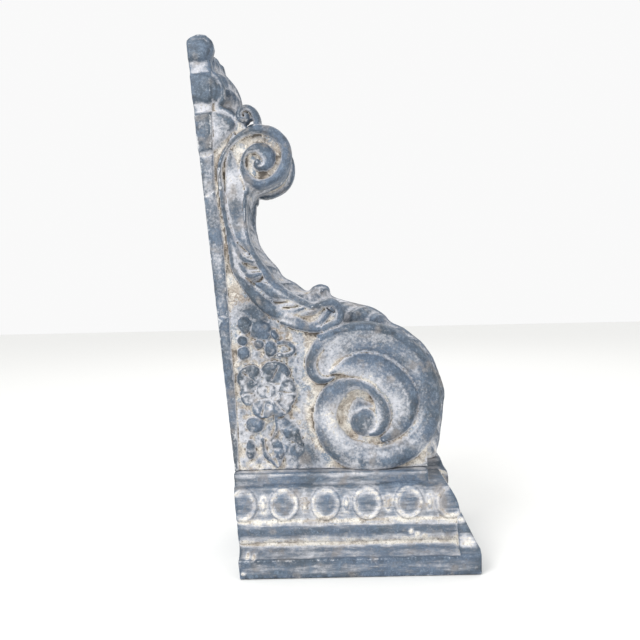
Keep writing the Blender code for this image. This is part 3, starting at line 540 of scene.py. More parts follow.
def carve_sprig(side):
    """The flower, its buds and its sprays, crumpled as thin stamped metal is."""
    for x0, z0, wide, tall, turn in BUDS:
        side.dome((x0, z0), (wide, tall), BUD_RISE, 0.0, turn)
    for spray in SPRAYS:
        side.roll(smooth_path(spray), SPRAY_RISE)
    side.dome(FLOWER_CENTRE, FLOWER_BED, FLOWER_BED_RISE)
    for x0, z0, wide, tall, turn in PETALS:
        halves = (wide * PETAL_SPREAD, tall * PETAL_SPREAD)
        side.dome((x0, z0), halves, PETAL_RISE, PETAL_FLOOR, turn, PETAL_LIP, PETAL_DISH)
        dx, dz = x0 - FLOWER_CENTRE[0], z0 - FLOWER_CENTRE[1]
        fold = [(FLOWER_CENTRE[0] + k * dx, FLOWER_CENTRE[1] + k * dz, half) for k, half in PETAL_FOLD]
        side.carve(smooth_path(fold), FOLD_DEPTH)
    side.dome(FLOWER_CENTRE, HEART_HALVES, HEART_RISE, HEART_FLOOR, 0.0, HEART_LIP, HEART_DISH)
    side.dome(PISTIL_CENTRE, PISTIL_HALVES, PISTIL_RISE, PISTIL_FLOOR)
    left, right, top = SPRIG_EDGES
    part = smooth_step((right - side.x) / 16) * smooth_step((side.x - left) / 6)
    part *= smooth_step((top - side.z) / 12)
    side.height += part * sum(wobble(side.x, side.z, *wave) for wave in CRUMPLES)


def side_of_body(xs, zs):
    side = Side(xs, zs)
    x, z = side.x, side.z
    ring = scroll_path(VOLUTE_CENTRE, RING_START, RING_STEP, RING_RADII, RING_HALVES)
    rim = polar_path(VOLUTE_CENTRE, [row[:2] for row in VOLUTE_BAND] + list(VOLUTE_RIM))
    head = scroll_path(HEAD_CENTRE, HEAD_START, HEAD_STEP, HEAD_RADII, HEAD_HALVES)
    hook, second = smooth_path(HOOK), polar_path(VOLUTE_CENTRE, SECOND_BAND)
    back_edge, front_edge, end_hook = smooth_path(BACK_EDGE), smooth_path(FRONT_EDGE), smooth_path(END_HOOK)
    curl = smooth_path(BROW_CURL)

    panel = side.area(TAIL_OUTLINE + BODY_FOOT)
    field = side.area(SCROLL_FIELD)
    disc = side.area(rim)
    knot = side.area(head[: HEAD_TURNS * PER_SPAN + 1, :2])
    loop = side.area([row[:2] for row in BROW_CURL[1:8]])
    side.inside = np.max([panel, field, disc, knot, loop], axis=0)

    strip = np.interp(z, STRIP_HEIGHTS, STRIP_EDGES)
    side.height += STRIP_RISE * smooth_step((strip - x) / STRIP_SHOULDER)
    for lobe in (TOP_LOBE, MIDDLE_LOBE, LOW_LOBE):
        side.plateau(lobe, LOBE_RISE, LOBE_SHOULDER)
    for seam in STRIP_SEAMS:
        side.carve(smooth_path([(px, pz, STRIP_SEAM_HALF) for px, pz in seam]), STRIP_SEAM_DEPTH)
    carve_sprig(side)

    side.height = np.where(np.maximum(disc, knot) > 0, PANEL + FIELD_RISE, side.height)
    side.height = np.where(field > 0, PANEL + FIELD_RISE + 1.5, side.height)
    side.carve(smooth_path(VOLUTE_POCKET), POCKET_DEPTH)
    for hollow in HOLLOWS:
        side.carve(smooth_path(hollow), HOLLOW_DEPTH)
    for husk in HUSKS:
        side.roll(smooth_path(husk), HUSK_RISE, FIELD_RISE)
    side.roll(second, SECOND_RISE, FIELD_RISE, flat=0.9)
    crease = [(angle, radius, CREASE_HALF) for angle, radius in SECOND_CREASE]
    side.carve(polar_path(VOLUTE_CENTRE, crease), CREASE_DEPTH)
    side.roll(smooth_path(HOOK_BED), HOOK_BED_RISE, HOOK_BED_FLOOR)
    side.roll(hook, HOOK_RISE, 0.0, outline=True)
    side.ribbon(VOLUTE_CENTRE, VOLUTE_BAND, ROLL_RISE, RIBBON_LEDGE)
    side.roll(ring, RING_RISE, BAND_FLOOR)
    side.dome(BALL_CENTRE, (BALL_HALF, BALL_HALF), BALL_RISE, BALL_FLOOR)
    side.roll(back_edge, EDGE_RISE, BAND_FLOOR, outline=True)
    side.roll(front_edge, EDGE_RISE, BAND_FLOOR, outline=True)
    side.roll(end_hook, END_HOOK_RISE, END_HOOK_FLOOR, outline=True)
    side.roll(smooth_path(HEAD_CORNER), HEAD_CORNER_RISE, BAND_FLOOR, outline=True)
    side.roll(head, HEAD_RISE, BAND_FLOOR, outline=True)
    side.dome(EYE_CENTRE, EYE_HALVES, EYE_RISE, EYE_FLOOR)
    side.roll(curl, CURL_RISE, 0.0, outline=True)
    side.deepen(SEAM_REACH)
    side.height += sum(wobble(x, z, *wave) for wave in HAND_WAVES)
    return side


def leaf_over(side):
    """Depth under the leaf's middle line, its half width there and the length along it."""
    path = smooth_path(LEAF, 4)
    inside = side.area(list(map(tuple, path[:, :2])) + list(LEAF_RETURN))
    x, z = side.x, side.z
    best = np.full(x.shape, 1e3)
    half = np.full(x.shape, 20.0)
    along = np.zeros(x.shape)
    run = 0.0
    for (x0, z0, w0), (x1, z1, w1) in zip(path, path[1:]):
        dx, dz = x1 - x0, z1 - z0
        length = math.hypot(dx, dz)
        t = np.clip(((x - x0) * dx + (z - z0) * dz) / length**2, 0, 1)
        away = np.hypot(x - x0 - t * dx, z - z0 - t * dz)
        closer = away < best
        best = np.where(closer, away, best)
        half = np.where(closer, w0 + t * (w1 - w0), half)
        along = np.where(closer, run + t * length, along)
        run += length
    return np.sign(inside) * best, half, along


def body_field(xs, ys, zs):
    side = side_of_body(xs, zs)
    depth, half, along = leaf_over(side)
    across = ys[None, :, None]
    height, inside = side.height[:, None, :], side.inside[:, None, :]
    channel = CHANNEL_DEPTH * smooth_step((CHEEK_INNER - across) / CHEEK_ROUND)
    solid = np.minimum(height - across, inside - channel)
    share = across / half[:, None, :]
    run = along[:, None, :] / LEAF_LOBE
    beat = np.cos(2 * math.pi * (run + LOBE_SWEEP * share))
    flow = smooth_step(run - VEINS_FLOW_FROM)
    upper_veins = np.cos(2 * math.pi * VEINS * share)
    lower_veins = np.cos(2 * math.pi * (run * VEINS + VEIN_SWEEP * share))
    veins = (1 - flow) * upper_veins + flow * lower_veins
    edge = share * (1 + FRINGE - FRINGE * beat)
    drop = LOBE_DROP * (1 - beat) * np.clip(share * 3, 0, 1) * LOBE_EASE + EDGE_DROP * edge**2.5
    drop += (VEIN_DEPTH - VEIN_FADE * flow) * (1 - veins) * np.clip(share * 4, 0, 1)
    drop += np.clip(edge - 1.0, 0, None) * EDGE_CUT - RIB_RISE * np.exp(-((across / RIB_HALF) ** 2))
    solid = np.maximum(solid, depth[:, None, :] - LEAF_SINK - drop)
    solid = np.minimum(solid, side.x[:, None, :] - back_x(side.z)[:, None, :])
    return np.minimum(solid, side.z[:, None, :] - (CAP_HEIGHT + SEAM))


def cap_half_width(z):
    """The moulded side of the cap: slab, cove, torus, fillet, egg band, arris and hollow."""
    out = np.full(z.shape, SLAB_HALF)
    cove = (COVE_TOP - z) / (COVE_TOP - SLAB_HEIGHT)
    flare = SLAB_HALF - COVE_HALF
    out = np.where(z > SLAB_HEIGHT, COVE_HALF + flare * (1 - np.sqrt(np.clip(1 - cove**2, 0, 1))), out)
    bulge = (z - (COVE_TOP + TORUS_TOP) / 2) / ((TORUS_TOP - COVE_TOP) / 2)
    torus = TORUS_HALF - TORUS_BULGE + TORUS_BULGE * np.sqrt(np.clip(1 - bulge**2, 0, 1))
    out = np.where(z > COVE_TOP, torus, out)
    out = np.where(z > TORUS_TOP, FILLET_HALF, out)
    swell = (z - FILLET_TOP) / (EGG_TOP - FILLET_TOP)
    ovolo = EGG_HIGH_HALF + (EGG_LOW_HALF - EGG_HIGH_HALF) * np.sqrt(np.clip(1 - swell**2, 0, 1))
    out = np.where(z > FILLET_TOP, ovolo, out)
    hollow = (CAP_HEIGHT - z) / (CAP_HEIGHT - EGG_TOP)
    ledge = LEDGE_HALF + LEDGE_FLARE * (1 - np.sqrt(np.clip(1 - hollow**2, 0, 1)))
    return np.where(z > EGG_TOP, ledge, out)


def cap_front(z):
    """The front of the cap: a plain slab, a straight rake and a rounded shoulder."""
    slope = (z - FRONT_SLAB_HEIGHT) / (RAKE_TOP - FRONT_SLAB_HEIGHT)
    rake_foot = SLAB_FRONT - RAKE_STEP
    rake = rake_foot - (rake_foot - MOULDING_FRONT) * slope
    out = np.where(z > FRONT_SLAB_HEIGHT, rake, SLAB_FRONT)
    swell = (z - RAKE_TOP) / (EGG_TOP - RAKE_TOP)
    ovolo = OVOLO_FRONT + (MOULDING_FRONT - OVOLO_FRONT) * (1 - np.clip(swell, 0, 1) ** 1.6)
    out = np.where(z > RAKE_TOP, ovolo, out)
    return np.where(z > EGG_TOP, LEDGE_FRONT, out)


def egg_rim(dx, dz):
    """How near a place is to the middle of the oval rim round an egg, 1 on it and 0 beside it."""
    outer = np.hypot(dx / EGG_HALF_WIDE, dz / EGG_HALF_TALL)
    middle = 1 - EGG_RIM / EGG_HALF_WIDE / 2
    return np.clip(1 - ((outer - middle) / (1 - middle)) ** 2, 0, 1)


def egg_relief(x, z):
    """Height of the egg-and-dart row over its band."""
    out = np.zeros(x.shape)
    for i in range(EGG_COUNT):
        dx, dz = x - (EGG_FIRST + EGG_PITCH * i), z - EGG_CENTRE_Z
        inner = np.hypot(dx / (EGG_HALF_WIDE - EGG_RIM), dz / (EGG_HALF_TALL - EGG_SHORTER))
        rim = egg_rim(dx, dz)
        out = np.maximum(out, EGG_RISE * np.sqrt(rim))
        out = np.maximum(out, EGG_RISE * 0.9 * np.sqrt(np.clip(1 - inner**2, 0, 1)))
        dart = np.hypot((dx - EGG_PITCH / 2) / DART_HALVES[0], dz / DART_HALVES[1])
        out = np.maximum(out, DART_RISE * np.sqrt(np.clip(1 - dart**2, 0, 1)))
    return out * smooth_step((z - FILLET_TOP) / BAND_EDGE) * smooth_step((EGG_TOP - z) / BAND_EDGE)


def cap_field(xs, ys, zs):
    x, z = np.meshgrid(xs, zs, indexing="ij")
    across = ys[None, :, None]
    lift = wobble(x, z, *CAP_BEND) * smooth_step(z / 10.0) * smooth_step((CAP_HEIGHT - z) / 4.0)
    dents = wobble(x, z, *CAP_DENTS) * smooth_step((z - PLAIN_FOOT) / 8)
    half = cap_half_width(z + lift) + egg_relief(x, z) + dents
    half = np.minimum(half, SLAB_HALF)
    ahead = np.minimum(cap_front(z), MOULDING_FRONT) - x
    moulded = np.minimum(half[:, None, :] - across, ahead[:, None, :])
    rise = np.clip((z - PLAIN_FOOT) / (EGG_TOP - PLAIN_FOOT), 0, 1)
    plain_half = SLAB_HALF - PLAIN_NARROWING * rise**0.45
    plain = np.minimum(plain_half[:, None, :] - across, (cap_front(z) - x)[:, None, :])
    keep = np.maximum(x - MOULDING_FRONT + PLAIN_LAP, SLAB_HEIGHT - z)
    plain = np.minimum(plain, keep[:, None, :])
    solid = np.maximum(moulded, plain)
    tip = TIP_HALF - across - 0.5 * np.abs(z - TIP_WIDEST)[:, None, :]
    tip_front = cap_front(np.minimum(z, TIP_TOP)) + TIP_STANDS - np.abs(z - TIP_MIDDLE) * 0.35
    tip = np.minimum(tip, (tip_front - x)[:, None, :])
    solid = np.maximum(solid, np.minimum(tip, (z - TIP_FOOT)[:, None, :]))
    round_x = (SLAB_FRONT - CORNER - x)[:, None, :]
    round_y = SLAB_HALF - CORNER - across
    bevel = CORNER - np.hypot(np.minimum(round_x, 0), np.minimum(round_y, 0))
    solid = np.minimum(solid, bevel)
    solid = np.minimum(solid, (x - back_x(z))[:, None, :])
    return np.minimum(solid, np.minimum(z, CAP_HEIGHT - SEAM - z)[:, None, :])


def open_corners(solid):
    """Fills the corners where two inside corners of one grid square meet only across its diagonal."""
    for _ in range(6):
        inside = solid > 0
        changed = False
        for a, b in ((0, 1), (0, 2), (1, 2)):
            def part(i, j):
                cut = [slice(None)] * 3
                cut[a] = slice(i, inside.shape[a] - 1 + i)
                cut[b] = slice(j, inside.shape[b] - 1 + j)
                return tuple(cut)

            p, q, r, s = (inside[part(*at)] for at in ((0, 0), (1, 1), (1, 0), (0, 1)))
            for mask, target in ((p & q & ~r & ~s, part(1, 0)), (r & s & ~p & ~q, part(0, 0))):
                if mask.any():
                    view = solid[target]
                    view[mask] = 0.05
                    changed = True
        if not changed:
            return


def surface(solid, xs, ys, zs):
    """Points and squares of the level set where the field changes sign."""
    open_corners(solid)
    inside = solid > 0
    shape = tuple(n - 1 for n in solid.shape)
    count = np.zeros(shape, np.uint8)
    corners = [(i, j, k) for i in (0, 1) for j in (0, 1) for k in (0, 1)]
    for i, j, k in corners:
        count += inside[i : i + shape[0], j : j + shape[1], k : k + shape[2]]
    cells = np.argwhere((count > 0) & (count < 8))
    values = [solid[cells[:, 0] + i, cells[:, 1] + j, cells[:, 2] + k] for i, j, k in corners]
    total = np.zeros((len(cells), 3))
    hits = np.zeros(len(cells))
    for a in range(8):
        for axis, bit in ((0, 4), (1, 2), (2, 1)):
            b = a | bit
            if b == a:
                continue
            va, vb = values[a], values[b]
            cross = (va > 0) != (vb > 0)
            t = np.where(cross, va / np.where(cross, va - vb, 1.0), 0.0)
            at = np.array(corners[a], float) + np.outer(t, np.eye(3)[axis])
            total += at * cross[:, None]
            hits += cross
    spots = cells + total / hits[:, None]
    step = np.array((xs[1] - xs[0], ys[1] - ys[0], zs[1] - zs[0]))
    points = np.array((xs[0], ys[0], zs[0])) + spots * step

    index = np.full(shape, -1, np.int64)
    index[tuple(cells.T)] = np.arange(len(cells))
    squares = []
    for axis in range(3):
        u, v = (axis + 1) % 3, (axis + 2) % 3
        low = [slice(1, n - 1) for n in solid.shape]
        low[axis] = slice(0, solid.shape[axis] - 1)
        high = list(low)
        high[axis] = slice(1, solid.shape[axis])
        first, last = inside[tuple(low)], inside[tuple(high)]
        for leaving in (True, False):
            at = np.argwhere((first & ~last) if leaving else (~first & last))
            if not len(at):
                continue
            base = at + 1
            base[:, axis] -= 1
            ring = []
            for du, dv in ((0, 0), (-1, 0), (-1, -1), (0, -1)):
                cell = base.copy()
                cell[:, u] += du
                cell[:, v] += dv
                ring.append(index[tuple(cell.T)])
            ring = ring if leaving else ring[::-1]
            squares.append(np.stack(ring, axis=1))
    return points, np.vstack(squares)


def smoothed(values, pairs, rounds):
    """Places spread over their neighbours, the near ones most, as they are after each count of rounds."""
    count = len(values)
    first, second = pairs.T
    weight = 1 / (np.linalg.norm(values[first] - values[second], axis=1) + 0.5)
    degree = (np.bincount(first, weight, count) + np.bincount(second, weight, count))[:, None]
    kept = []
    now = values.copy()
    for turn in range(1, max(rounds) + 1):
        total = np.zeros_like(now)
        for axis in range(now.shape[1]):
            total[:, axis] = np.bincount(first, weight * now[second, axis], count)
            total[:, axis] += np.bincount(second, weight * now[first, axis], count)
        now = 0.5 * now + 0.5 * total / degree
        if turn in rounds:
            kept.append(now.copy())
    return kept


def handling(places):
    """How much more, or less, the paint has worn at each place than its relief alone would tell."""
    x, z = places[:, 0] + MIDDLE_X, places[:, 2]
    on_body = z > CAP_HEIGHT
    out = BACK_WEAR * bell((x - back_x(z)) / BACK_WEAR_REACH) * on_body
    out += FOOT_WEAR * bell((z - CAP_HEIGHT) / FOOT_WEAR_REACH) * on_body
    for i in range(EGG_COUNT):
        dx, dz = x - (EGG_FIRST + EGG_PITCH * i), z - EGG_CENTRE_Z
        dart = np.hypot((dx - EGG_PITCH / 2) / DART_HALVES[0], dz / DART_HALVES[1])
        out += EGG_WEAR * egg_rim(dx, dz) + DART_WEAR * bell(dart)
    for height, reach, amount in STREAKS:
        out += amount * bell((z - height) / reach) * (z < CAP_HEIGHT)
    for x0, z0, reach, amount in HANDLED:
        out += amount * bell(np.hypot(x - x0, z - z0) / reach)
    return out


# The relief and wear each point carries, which also place the painted shade in the creases, and the rounds
# of smoothing that its surroundings get for the first three
WEAR_NAMES = ("fine", "middle", "wide", "handled")
WEAR_ROUNDS = (5, 30, 120)
BACK_SKIN = 1.5


def note_wear(mesh):
    """Writes how far each point stands out of, or lies in, its surroundings, at three sizes."""
    count = len(mesh.vertices)
    places = np.empty(count * 3)
    mesh.vertices.foreach_get("co", places)
    places = places.reshape(-1, 3) * PER_METRE
    normals = np.empty(count * 3)
    mesh.vertices.foreach_get("normal", normals)
    normals = normals.reshape(-1, 3)
    pairs = np.empty(len(mesh.edges) * 2, np.int64)
    mesh.edges.foreach_get("vertices", pairs)
    levels = smoothed(places, pairs.reshape(-1, 2), WEAR_ROUNDS)
    heights = [((places - level) * normals).sum(axis=1) for level in levels]
    heights.append(handling(places))
    behind = places[:, 0] + MIDDLE_X - back_x(places[:, 2]) < BACK_SKIN
    plain = behind * smooth_step((-normals[:, 0] - 0.8) / 0.15)
    heights = [height * (1 - plain) for height in heights]
    for name, out in zip(WEAR_NAMES, heights):
        layer = mesh.attributes.new(name, "FLOAT", "POINT")
        layer.data.foreach_set("value", out.astype(np.float32))


def grid_values(low, high, step):
    return np.arange(low, high + step, step)


def half_grid(width, step):
    return (np.arange(0, int(width / step) + 1) + 0.5) * step


def carved_piece(name, field, xs, ys, zs, triangles):
    """A mesh object from half of a symmetric field, thinned to the triangle count."""
    half = field(xs, ys, zs)
    solid = np.concatenate([half[:, ::-1], half], axis=1)
    both = np.concatenate([-ys[::-1], ys])
    points, squares = surface(solid, xs, both, zs)
    mesh = bpy.data.meshes.new(name)
    moved = (points - np.array((MIDDLE_X, 0.0, 0.0))) * MM
    mesh.vertices.add(len(moved))
    mesh.vertices.foreach_set("co", moved.astype(np.float32).ravel())
    mesh.loops.add(squares.size)
    mesh.loops.foreach_set("vertex_index", squares.astype(np.int32).ravel())
    mesh.polygons.add(len(squares))
    mesh.polygons.foreach_set("loop_start", np.arange(0, squares.size, 4, dtype=np.int32))
    mesh.update(calc_edges=True)
    mesh.validate()
    obj = bpy.data.objects.new(name, mesh)
    bpy.context.scene.collection.objects.link(obj)
    bpy.ops.object.select_all(action="DESELECT")
    obj.select_set(True)
    bpy.context.view_layer.objects.active = obj
    fewer = obj.modifiers.new("Fewer faces", "DECIMATE")
    fewer.ratio = min(1.0, triangles / (2 * len(squares)))
    bpy.ops.object.modifier_apply(modifier=fewer.name)
    bpy.ops.object.mode_set(mode="EDIT")
    bpy.ops.mesh.select_all(action="SELECT")
    bpy.ops.mesh.normals_make_consistent(inside=False)
    bpy.ops.object.mode_set(mode="OBJECT")
    bpy.ops.object.shade_smooth()
    places = np.empty(len(obj.data.vertices) * 3)
    obj.data.vertices.foreach_get("co", places)
    places = np.clip(places.reshape(-1, 3), np.array(CAD_LOW), np.array(CAD_HIGH))
    obj.data.vertices.foreach_set("co", places.ravel())
    obj.data.update()
    note_wear(obj.data)
    return obj


def linear(text):
    """sRGB hex text as linear red, green, blue and alpha."""
    parts = [int(text[i : i + 2], 16) / 255 for i in (1, 3, 5)]
    return tuple(c / 12.92 if c <= 0.04045 else ((c + 0.055) / 1.055) ** 2.4 for c in parts) + (1.0,)


def add(tree, kind, inputs=None, **settings):
    """A shader node with its settings, its inputs either values or sockets to link from."""
    node = tree.nodes.new(kind)
    for name, value in settings.items():
        setattr(node, name, value)
    for name, value in (inputs or {}).items():
        socket = node.inputs[name]
        if isinstance(value, bpy.types.NodeSocket):
            tree.links.new(value, socket)
        else:
            socket.default_value = value
    return node


def blended(tree, *parts):
    """The sum of some values, each with its weight and with what is taken off it first."""
    total = -sum(weight * less for _, weight, less in parts)
    for value, weight, _ in parts:
        inputs = {0: value, 1: weight, 2: total}
        total = add(tree, "ShaderNodeMath", inputs, operation="MULTIPLY_ADD").outputs[0]
    return total


def coat(tree, below, colour, strength, *masks):
    """A coat over what lies below, through masks: each a value, where it is nought and where it is full."""
    cover = strength
    for value, none, full in masks:
        ends = (0.0, 1.0) if full > none else (1.0, 0.0)
        inputs = {"Value": value, "From Min": min(none, full), "From Max": max(none, full),
                  "To Min": ends[0], "To Max": ends[1]}
        mask = add(tree, "ShaderNodeMapRange", inputs, interpolation_type="SMOOTHSTEP").outputs["Result"]
        cover = add(tree, "ShaderNodeMath", {0: mask, 1: cover}, operation="MULTIPLY").outputs[0]
    inputs = {0: cover, 6: below, 7: colour}
    return add(tree, "ShaderNodeMix", inputs, data_type="RGBA").outputs[2]


# Paint colours that the settings leave alone, as sRGB hex
NEAR_BLACK = "#2a3138"
DARK_SLATE = "#424e5a"
LIGHT_SLATE = "#6f8093"
BARE = "#e9e9ea"
# Dark brown-grey for thin lines of painted shade, with some grime, in the narrowest creases
CREASE_GRIME_AND_SHADE = "#4a443e"

# The paint's patterns: how far apart their patches are in millimetres, detail and roughness
PATTERNS = {"patches": (45.0, 4.0, 0.55), "clouds": (16.0, 5.0, 0.6), "mottle": (8.0, 6.0, 0.7),
            "speckle": (2.4, 5.0, 0.75), "strokes": (3.0, 3.0, 0.6)}

# The cap's flats are painted as if they stood out by this, and brushed along x and y
CAP_STAND = 0.6
BRUSHED_ALONG = (0.14, 0.14, 1.0)
BUMP_HEIGHT = 0.0006


def worn_paint(name, values, stand, drag):
    """Painted zinc: slate-blue on the crests, rubbed lavender down the slopes, old cream in the creases,
    painted shade with some grime in the narrowest ones.

    Flats are painted as if they stood out by the stand, and the brush's streaks are drawn out along each
    axis whose drag is under 1. Chalky paint gives a dull sheen, uneven where it has worn thin.
    """
    material = bpy.data.materials.new(name)
    material.use_nodes = True
    tree = material.node_tree
    tree.nodes.clear()
    slate, pale, cream, ochre = map(linear, (values.slate, values.pale, values.cream, values.ochre))
    fixed = (NEAR_BLACK, DARK_SLATE, LIGHT_SLATE, BARE, CREASE_GRIME_AND_SHADE)
    near_black, dark_slate, light_slate, bare, crease_grime_and_shade = map(linear, fixed)
    where = add(tree, "ShaderNodeTexCoord").outputs["Object"]
    along = add(tree, "ShaderNodeVectorMath", {0: where, 1: drag}, operation="MULTIPLY").outputs["Vector"]
    fine, middle, wide, handled = (
        add(tree, "ShaderNodeAttribute", attribute_name=wear).outputs["Fac"] for wear in WEAR_NAMES)
    pattern = {}
    for kind, (across, detail, roughness) in PATTERNS.items():
        inputs = {"Vector": along if kind == "strokes" else where, "Scale": 1 / (across * MM),
                  "Detail": detail, "Roughness": roughness}
        pattern[kind] = add(tree, "ShaderNodeTexNoise", inputs).outputs["Fac"]
    patches, clouds, mottle, speckle, strokes = pattern.values()

    crest = add(tree, "ShaderNodeMath", {0: wide, 1: 0.0}, operation="MAXIMUM").outputs[0]
    hollow = add(tree, "ShaderNodeMath", {0: wide, 1: 0.0}, operation="MINIMUM").outputs[0]
    rough = blended(tree, (mottle, 3.6, 0.5), (speckle, 3.4, 0.5), (strokes, 3.0, 0.5))
    worn = blended(tree, (middle, 1.0, 0.0), (crest, 0.15, 0.0), (handled, 1.0, -stand), (rough, 1.0, 0.0),
                   (patches, 2.4, 0.5))
    sunk = blended(tree, (worn, 1.0, 0.0), (hollow, 0.3, 0.0))
    pockets = blended(tree, (middle, 1.0, 0.0), (rough, 1.0, 0.0), (handled, 1.0, 0.0))
    edges = blended(tree, (fine, 1.0, 0.0), (speckle, 0.9, 0.5))

    paint = coat(tree, dark_slate, slate, 1.0, (patches, 0.36, 0.64))
    paint = coat(tree, paint, light_slate, 0.75, (mottle, 0.46, 0.68))
    paint = coat(tree, paint, near_black, 0.6, (mottle, 0.47, 0.33))
    paint = coat(tree, paint, pale, 0.87, (worn, 1.6, -0.8))
    paint = coat(tree, paint, bare, 0.6, (worn, -0.8, -2.4))
    paint = coat(tree, paint, ochre, 0.45, (clouds, 0.52, 0.68))

    ground = coat(tree, light_slate, ochre, 1.0, (clouds, 0.40, 0.56))
    ground = coat(tree, ground, cream, 0.85, (mottle, 0.47, 0.60))
    paint = coat(tree, paint, ground, 0.92, (sunk, -0.4, -1.3), (hollow, -0.5, -2.0))
    lining = coat(tree, cream, ochre, 0.8, (clouds, 0.46, 0.60))
    lining = coat(tree, lining, ochre, 0.75, (middle, -1.0, -2.4))
    paint = coat(tree, paint, lining, 0.9, (pockets, -0.7, -1.9))

    paint = coat(tree, paint, near_black, 0.55, (speckle, 0.52, 0.33))
    paint = coat(tree, paint, bare, 0.28, (speckle, 0.55, 0.74))
    paint = coat(tree, paint, bare, 0.7, (edges, 0.42, 0.72), (fine, 1.0, 0.6), (clouds, 0.42, 0.56))
    # Painted shade, with some grime: thin dark lines where the fine relief is most hollow
    paint = coat(tree, paint, crease_grime_and_shade, 0.88, (edges, -0.27, -0.62))

    bumps = blended(tree, (speckle, 1.0, 0.0), (mottle, 1.2, 0.0))
    bump = add(tree, "ShaderNodeBump", {"Height": bumps, "Strength": 0.35, "Distance": BUMP_HEIGHT})
    sheen = add(tree, "ShaderNodeMath", {0: mottle, 1: 0.25, 2: 0.42}, operation="MULTIPLY_ADD")
    inputs = {"Base Color": paint, "Normal": bump.outputs["Normal"], "Roughness": sheen.outputs[0]}
    shader = add(tree, "ShaderNodeBsdfPrincipled", inputs)
    add(tree, "ShaderNodeOutputMaterial", {"Surface": shader.outputs["BSDF"]})
    return material


# The carving grids' reach in x and y, with room to spare round each piece
BODY_SPAN = (-50, 254)
BODY_HALF_SPAN = 80
CAP_SPAN = (-12, 270)
CAP_HALF_SPAN = 122
ROOM = 3


class CorbelSettings(bpy.types.PropertyGroup):
    """What a user would change on the corbel."""

    body_step: bpy.props.FloatProperty(
        name="Body detail", description="Spacing of the body's carving grid", default=0.00125, unit="LENGTH")
    cap_step: bpy.props.FloatProperty(
        name="Cap detail", description="Spacing of the cap's carving grid", default=0.0012, unit="LENGTH")
    most_triangles: bpy.props.IntProperty(
        name="Triangles", description="Most triangles of one piece", default=190000)
    slate: bpy.props.StringProperty(
        name="Slate", description="Blue-grey paint, sRGB hex", default="#556579")
    pale: bpy.props.StringProperty(
        name="Rubbed", description="Rubbed high parts, sRGB hex", default="#d0d1d7")
    cream: bpy.props.StringProperty(
        name="Cream", description="Old paint in the recesses, sRGB hex", default="#ebe5da")
    ochre: bpy.props.StringProperty(
        name="Ochre", description="Stain in the deepest pockets, sRGB hex", default="#95887a")


class CORBEL_OT_scroll_body(bpy.types.Operator):
    """Carves the scroll body"""

    bl_idname = "corbel.scroll_body"
    bl_label = "Scroll body"

    def execute(self, context):
        values = context.scene.corbel
        step = values.body_step * PER_METRE
        xs, zs = grid_values(*BODY_SPAN, step), grid_values(CAP_HEIGHT - ROOM, HEIGHT + ROOM, step)
        ys = half_grid(BODY_HALF_SPAN, step)
        piece = carved_piece("scroll_body_carved", body_field, xs, ys, zs, values.most_triangles)
        piece.data.materials.append(worn_paint("worn_paint_on_stamped_zinc", values, 0.0, (1.0, 1.0, 1.0)))
        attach(piece, "root")
        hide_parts("scroll_body")
        return {"FINISHED"}


class CORBEL_OT_moulded_cap(bpy.types.Operator):
    """Runs the cap's mouldings and its egg-and-dart row"""

    bl_idname = "corbel.moulded_cap"
    bl_label = "Moulded cap"

    def execute(self, context):
        values = context.scene.corbel
        step = values.cap_step * PER_METRE
        xs, zs = grid_values(*CAP_SPAN, step), grid_values(-ROOM, CAP_HEIGHT + ROOM, step)
        ys = half_grid(CAP_HALF_SPAN, step)
        piece = carved_piece("moulded_cap_carved", cap_field, xs, ys, zs, values.most_triangles)
        piece.data.materials.append(worn_paint("worn_paint_on_bent_zinc", values, CAP_STAND, BRUSHED_ALONG))
        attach(piece, "root")
        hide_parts("moulded_cap")
        return {"FINISHED"}


# The camera, solved from the photograph's frame: millimetres, degrees and pixels
CAMERA_X = 93.3
CAMERA_AWAY = 930.0
CAMERA_Z = 327.7
CAMERA_PITCH = 3.2
CAMERA_ROLL = 1.2
FOCAL_PIXELS = 760.0
FRAME_PIXELS = 640.0
SENSOR_WIDE = 36.0

# The board, the daylight of the room and the lights: place in metres, size and watts
BOARD_SIZE = 8.0
BOARD_COLOUR = "#f2f2f0"
BOARD_GAP = 0.0005
ROOM_LIGHT = 0.95
LIGHTS = {"key": ((-1.0, -1.3, 1.5), 0.9, 24.0),
          "fill": ((1.6, -1.2, 0.9), 1.6, 4.0),
          "back": ((0.2, 1.6, 1.8), 1.6, 6.0)}
LIT_PLACE = (0, 0, 0.3)


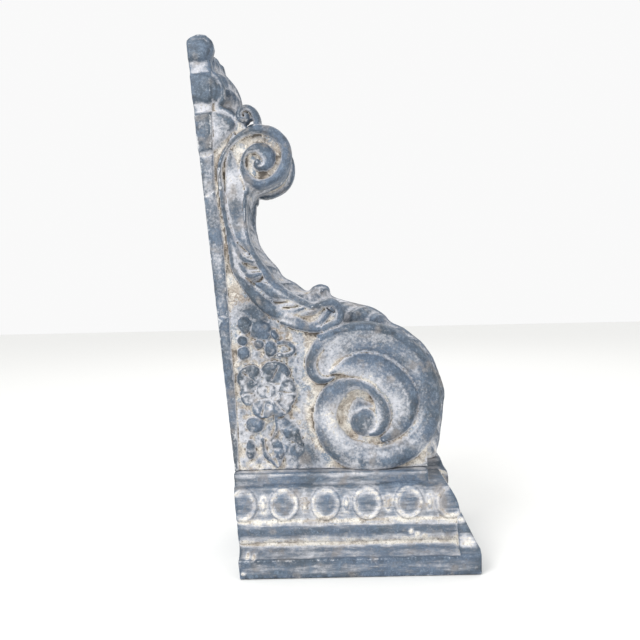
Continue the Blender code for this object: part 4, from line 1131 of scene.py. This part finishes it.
class CORBEL_OT_stage(bpy.types.Operator):
    """Sets the pale floor, the soft lights and the camera"""

    bl_idname = "corbel.stage"
    bl_label = "Stage"

    def execute(self, context):
        scene = context.scene
        camera = bpy.data.objects.new("camera", bpy.data.cameras.new("camera"))
        scene.collection.objects.link(camera)
        camera.data.sensor_width = SENSOR_WIDE
        camera.data.lens = SENSOR_WIDE * FOCAL_PIXELS / FRAME_PIXELS
        pitch, roll = math.radians(CAMERA_PITCH), math.radians(CAMERA_ROLL)
        ahead = Vector((0, math.cos(pitch), -math.sin(pitch)))
        level_up = Vector((0, math.sin(pitch), math.cos(pitch)))
        right = math.cos(roll) * Vector((1, 0, 0)) - math.sin(roll) * level_up
        up = math.sin(roll) * Vector((1, 0, 0)) + math.cos(roll) * level_up
        turn = Matrix((right, up, -ahead)).transposed().to_4x4()
        place = Vector((CAMERA_X - MIDDLE_X, -CAMERA_AWAY, CAMERA_Z)) * MM
        camera.matrix_world = Matrix.Translation(place) @ turn
        scene.camera = camera
        scene.view_settings.view_transform = "Standard"

        bpy.ops.object.select_all(action="DESELECT")
        bpy.ops.mesh.primitive_plane_add(size=BOARD_SIZE, location=(0, 0, -BOARD_GAP))
        floor = context.object
        floor.name = "floor"
        paper = bpy.data.materials.new("matt_white_board")
        paper.use_nodes = True
        shader = paper.node_tree.nodes["Principled BSDF"]
        shader.inputs["Base Color"].default_value = linear(BOARD_COLOUR)
        shader.inputs["Roughness"].default_value = 0.9
        floor.data.materials.append(paper)

        world = bpy.data.worlds.new("studio")
        scene.world = world
        world.use_nodes = True
        daylight = world.node_tree.nodes["Background"]
        daylight.inputs["Color"].default_value = (1, 1, 1, 1)
        daylight.inputs["Strength"].default_value = ROOM_LIGHT
        for name, (place, size, power) in LIGHTS.items():
            light = bpy.data.objects.new(name, bpy.data.lights.new(name, "AREA"))
            scene.collection.objects.link(light)
            light.data.size = size
            light.data.energy = power
            light.location = place
            aim = Vector(LIT_PLACE) - Vector(place)
            light.rotation_euler = aim.to_track_quat("-Z", "Y").to_euler()
        return {"FINISHED"}


class CORBEL_PT_panel(bpy.types.Panel):
    """The corbel's steps, in order"""

    bl_idname = "CORBEL_PT_panel"
    bl_label = "Scroll corbel"
    bl_space_type = "VIEW_3D"
    bl_region_type = "UI"
    bl_category = "Corbel"

    def draw(self, context):
        for name in ("body_step", "cap_step", "most_triangles", "slate", "pale", "cream", "ochre"):
            self.layout.prop(context.scene.corbel, name)
        for name in STEPS:
            self.layout.operator("corbel." + name)


STEPS = ("scroll_body", "moulded_cap", "stage")
CLASSES = (CorbelSettings, CORBEL_OT_scroll_body, CORBEL_OT_moulded_cap, CORBEL_OT_stage,
           CORBEL_PT_panel)


def register():
    for one in CLASSES:
        bpy.utils.register_class(one)
    bpy.types.Scene.corbel = bpy.props.PointerProperty(type=CorbelSettings)


def unregister():
    del bpy.types.Scene.corbel
    for one in reversed(CLASSES):
        bpy.utils.unregister_class(one)


def main():
    register()
    for name in STEPS:
        getattr(bpy.ops.corbel, name)()


if __name__ == "__main__":
    main()
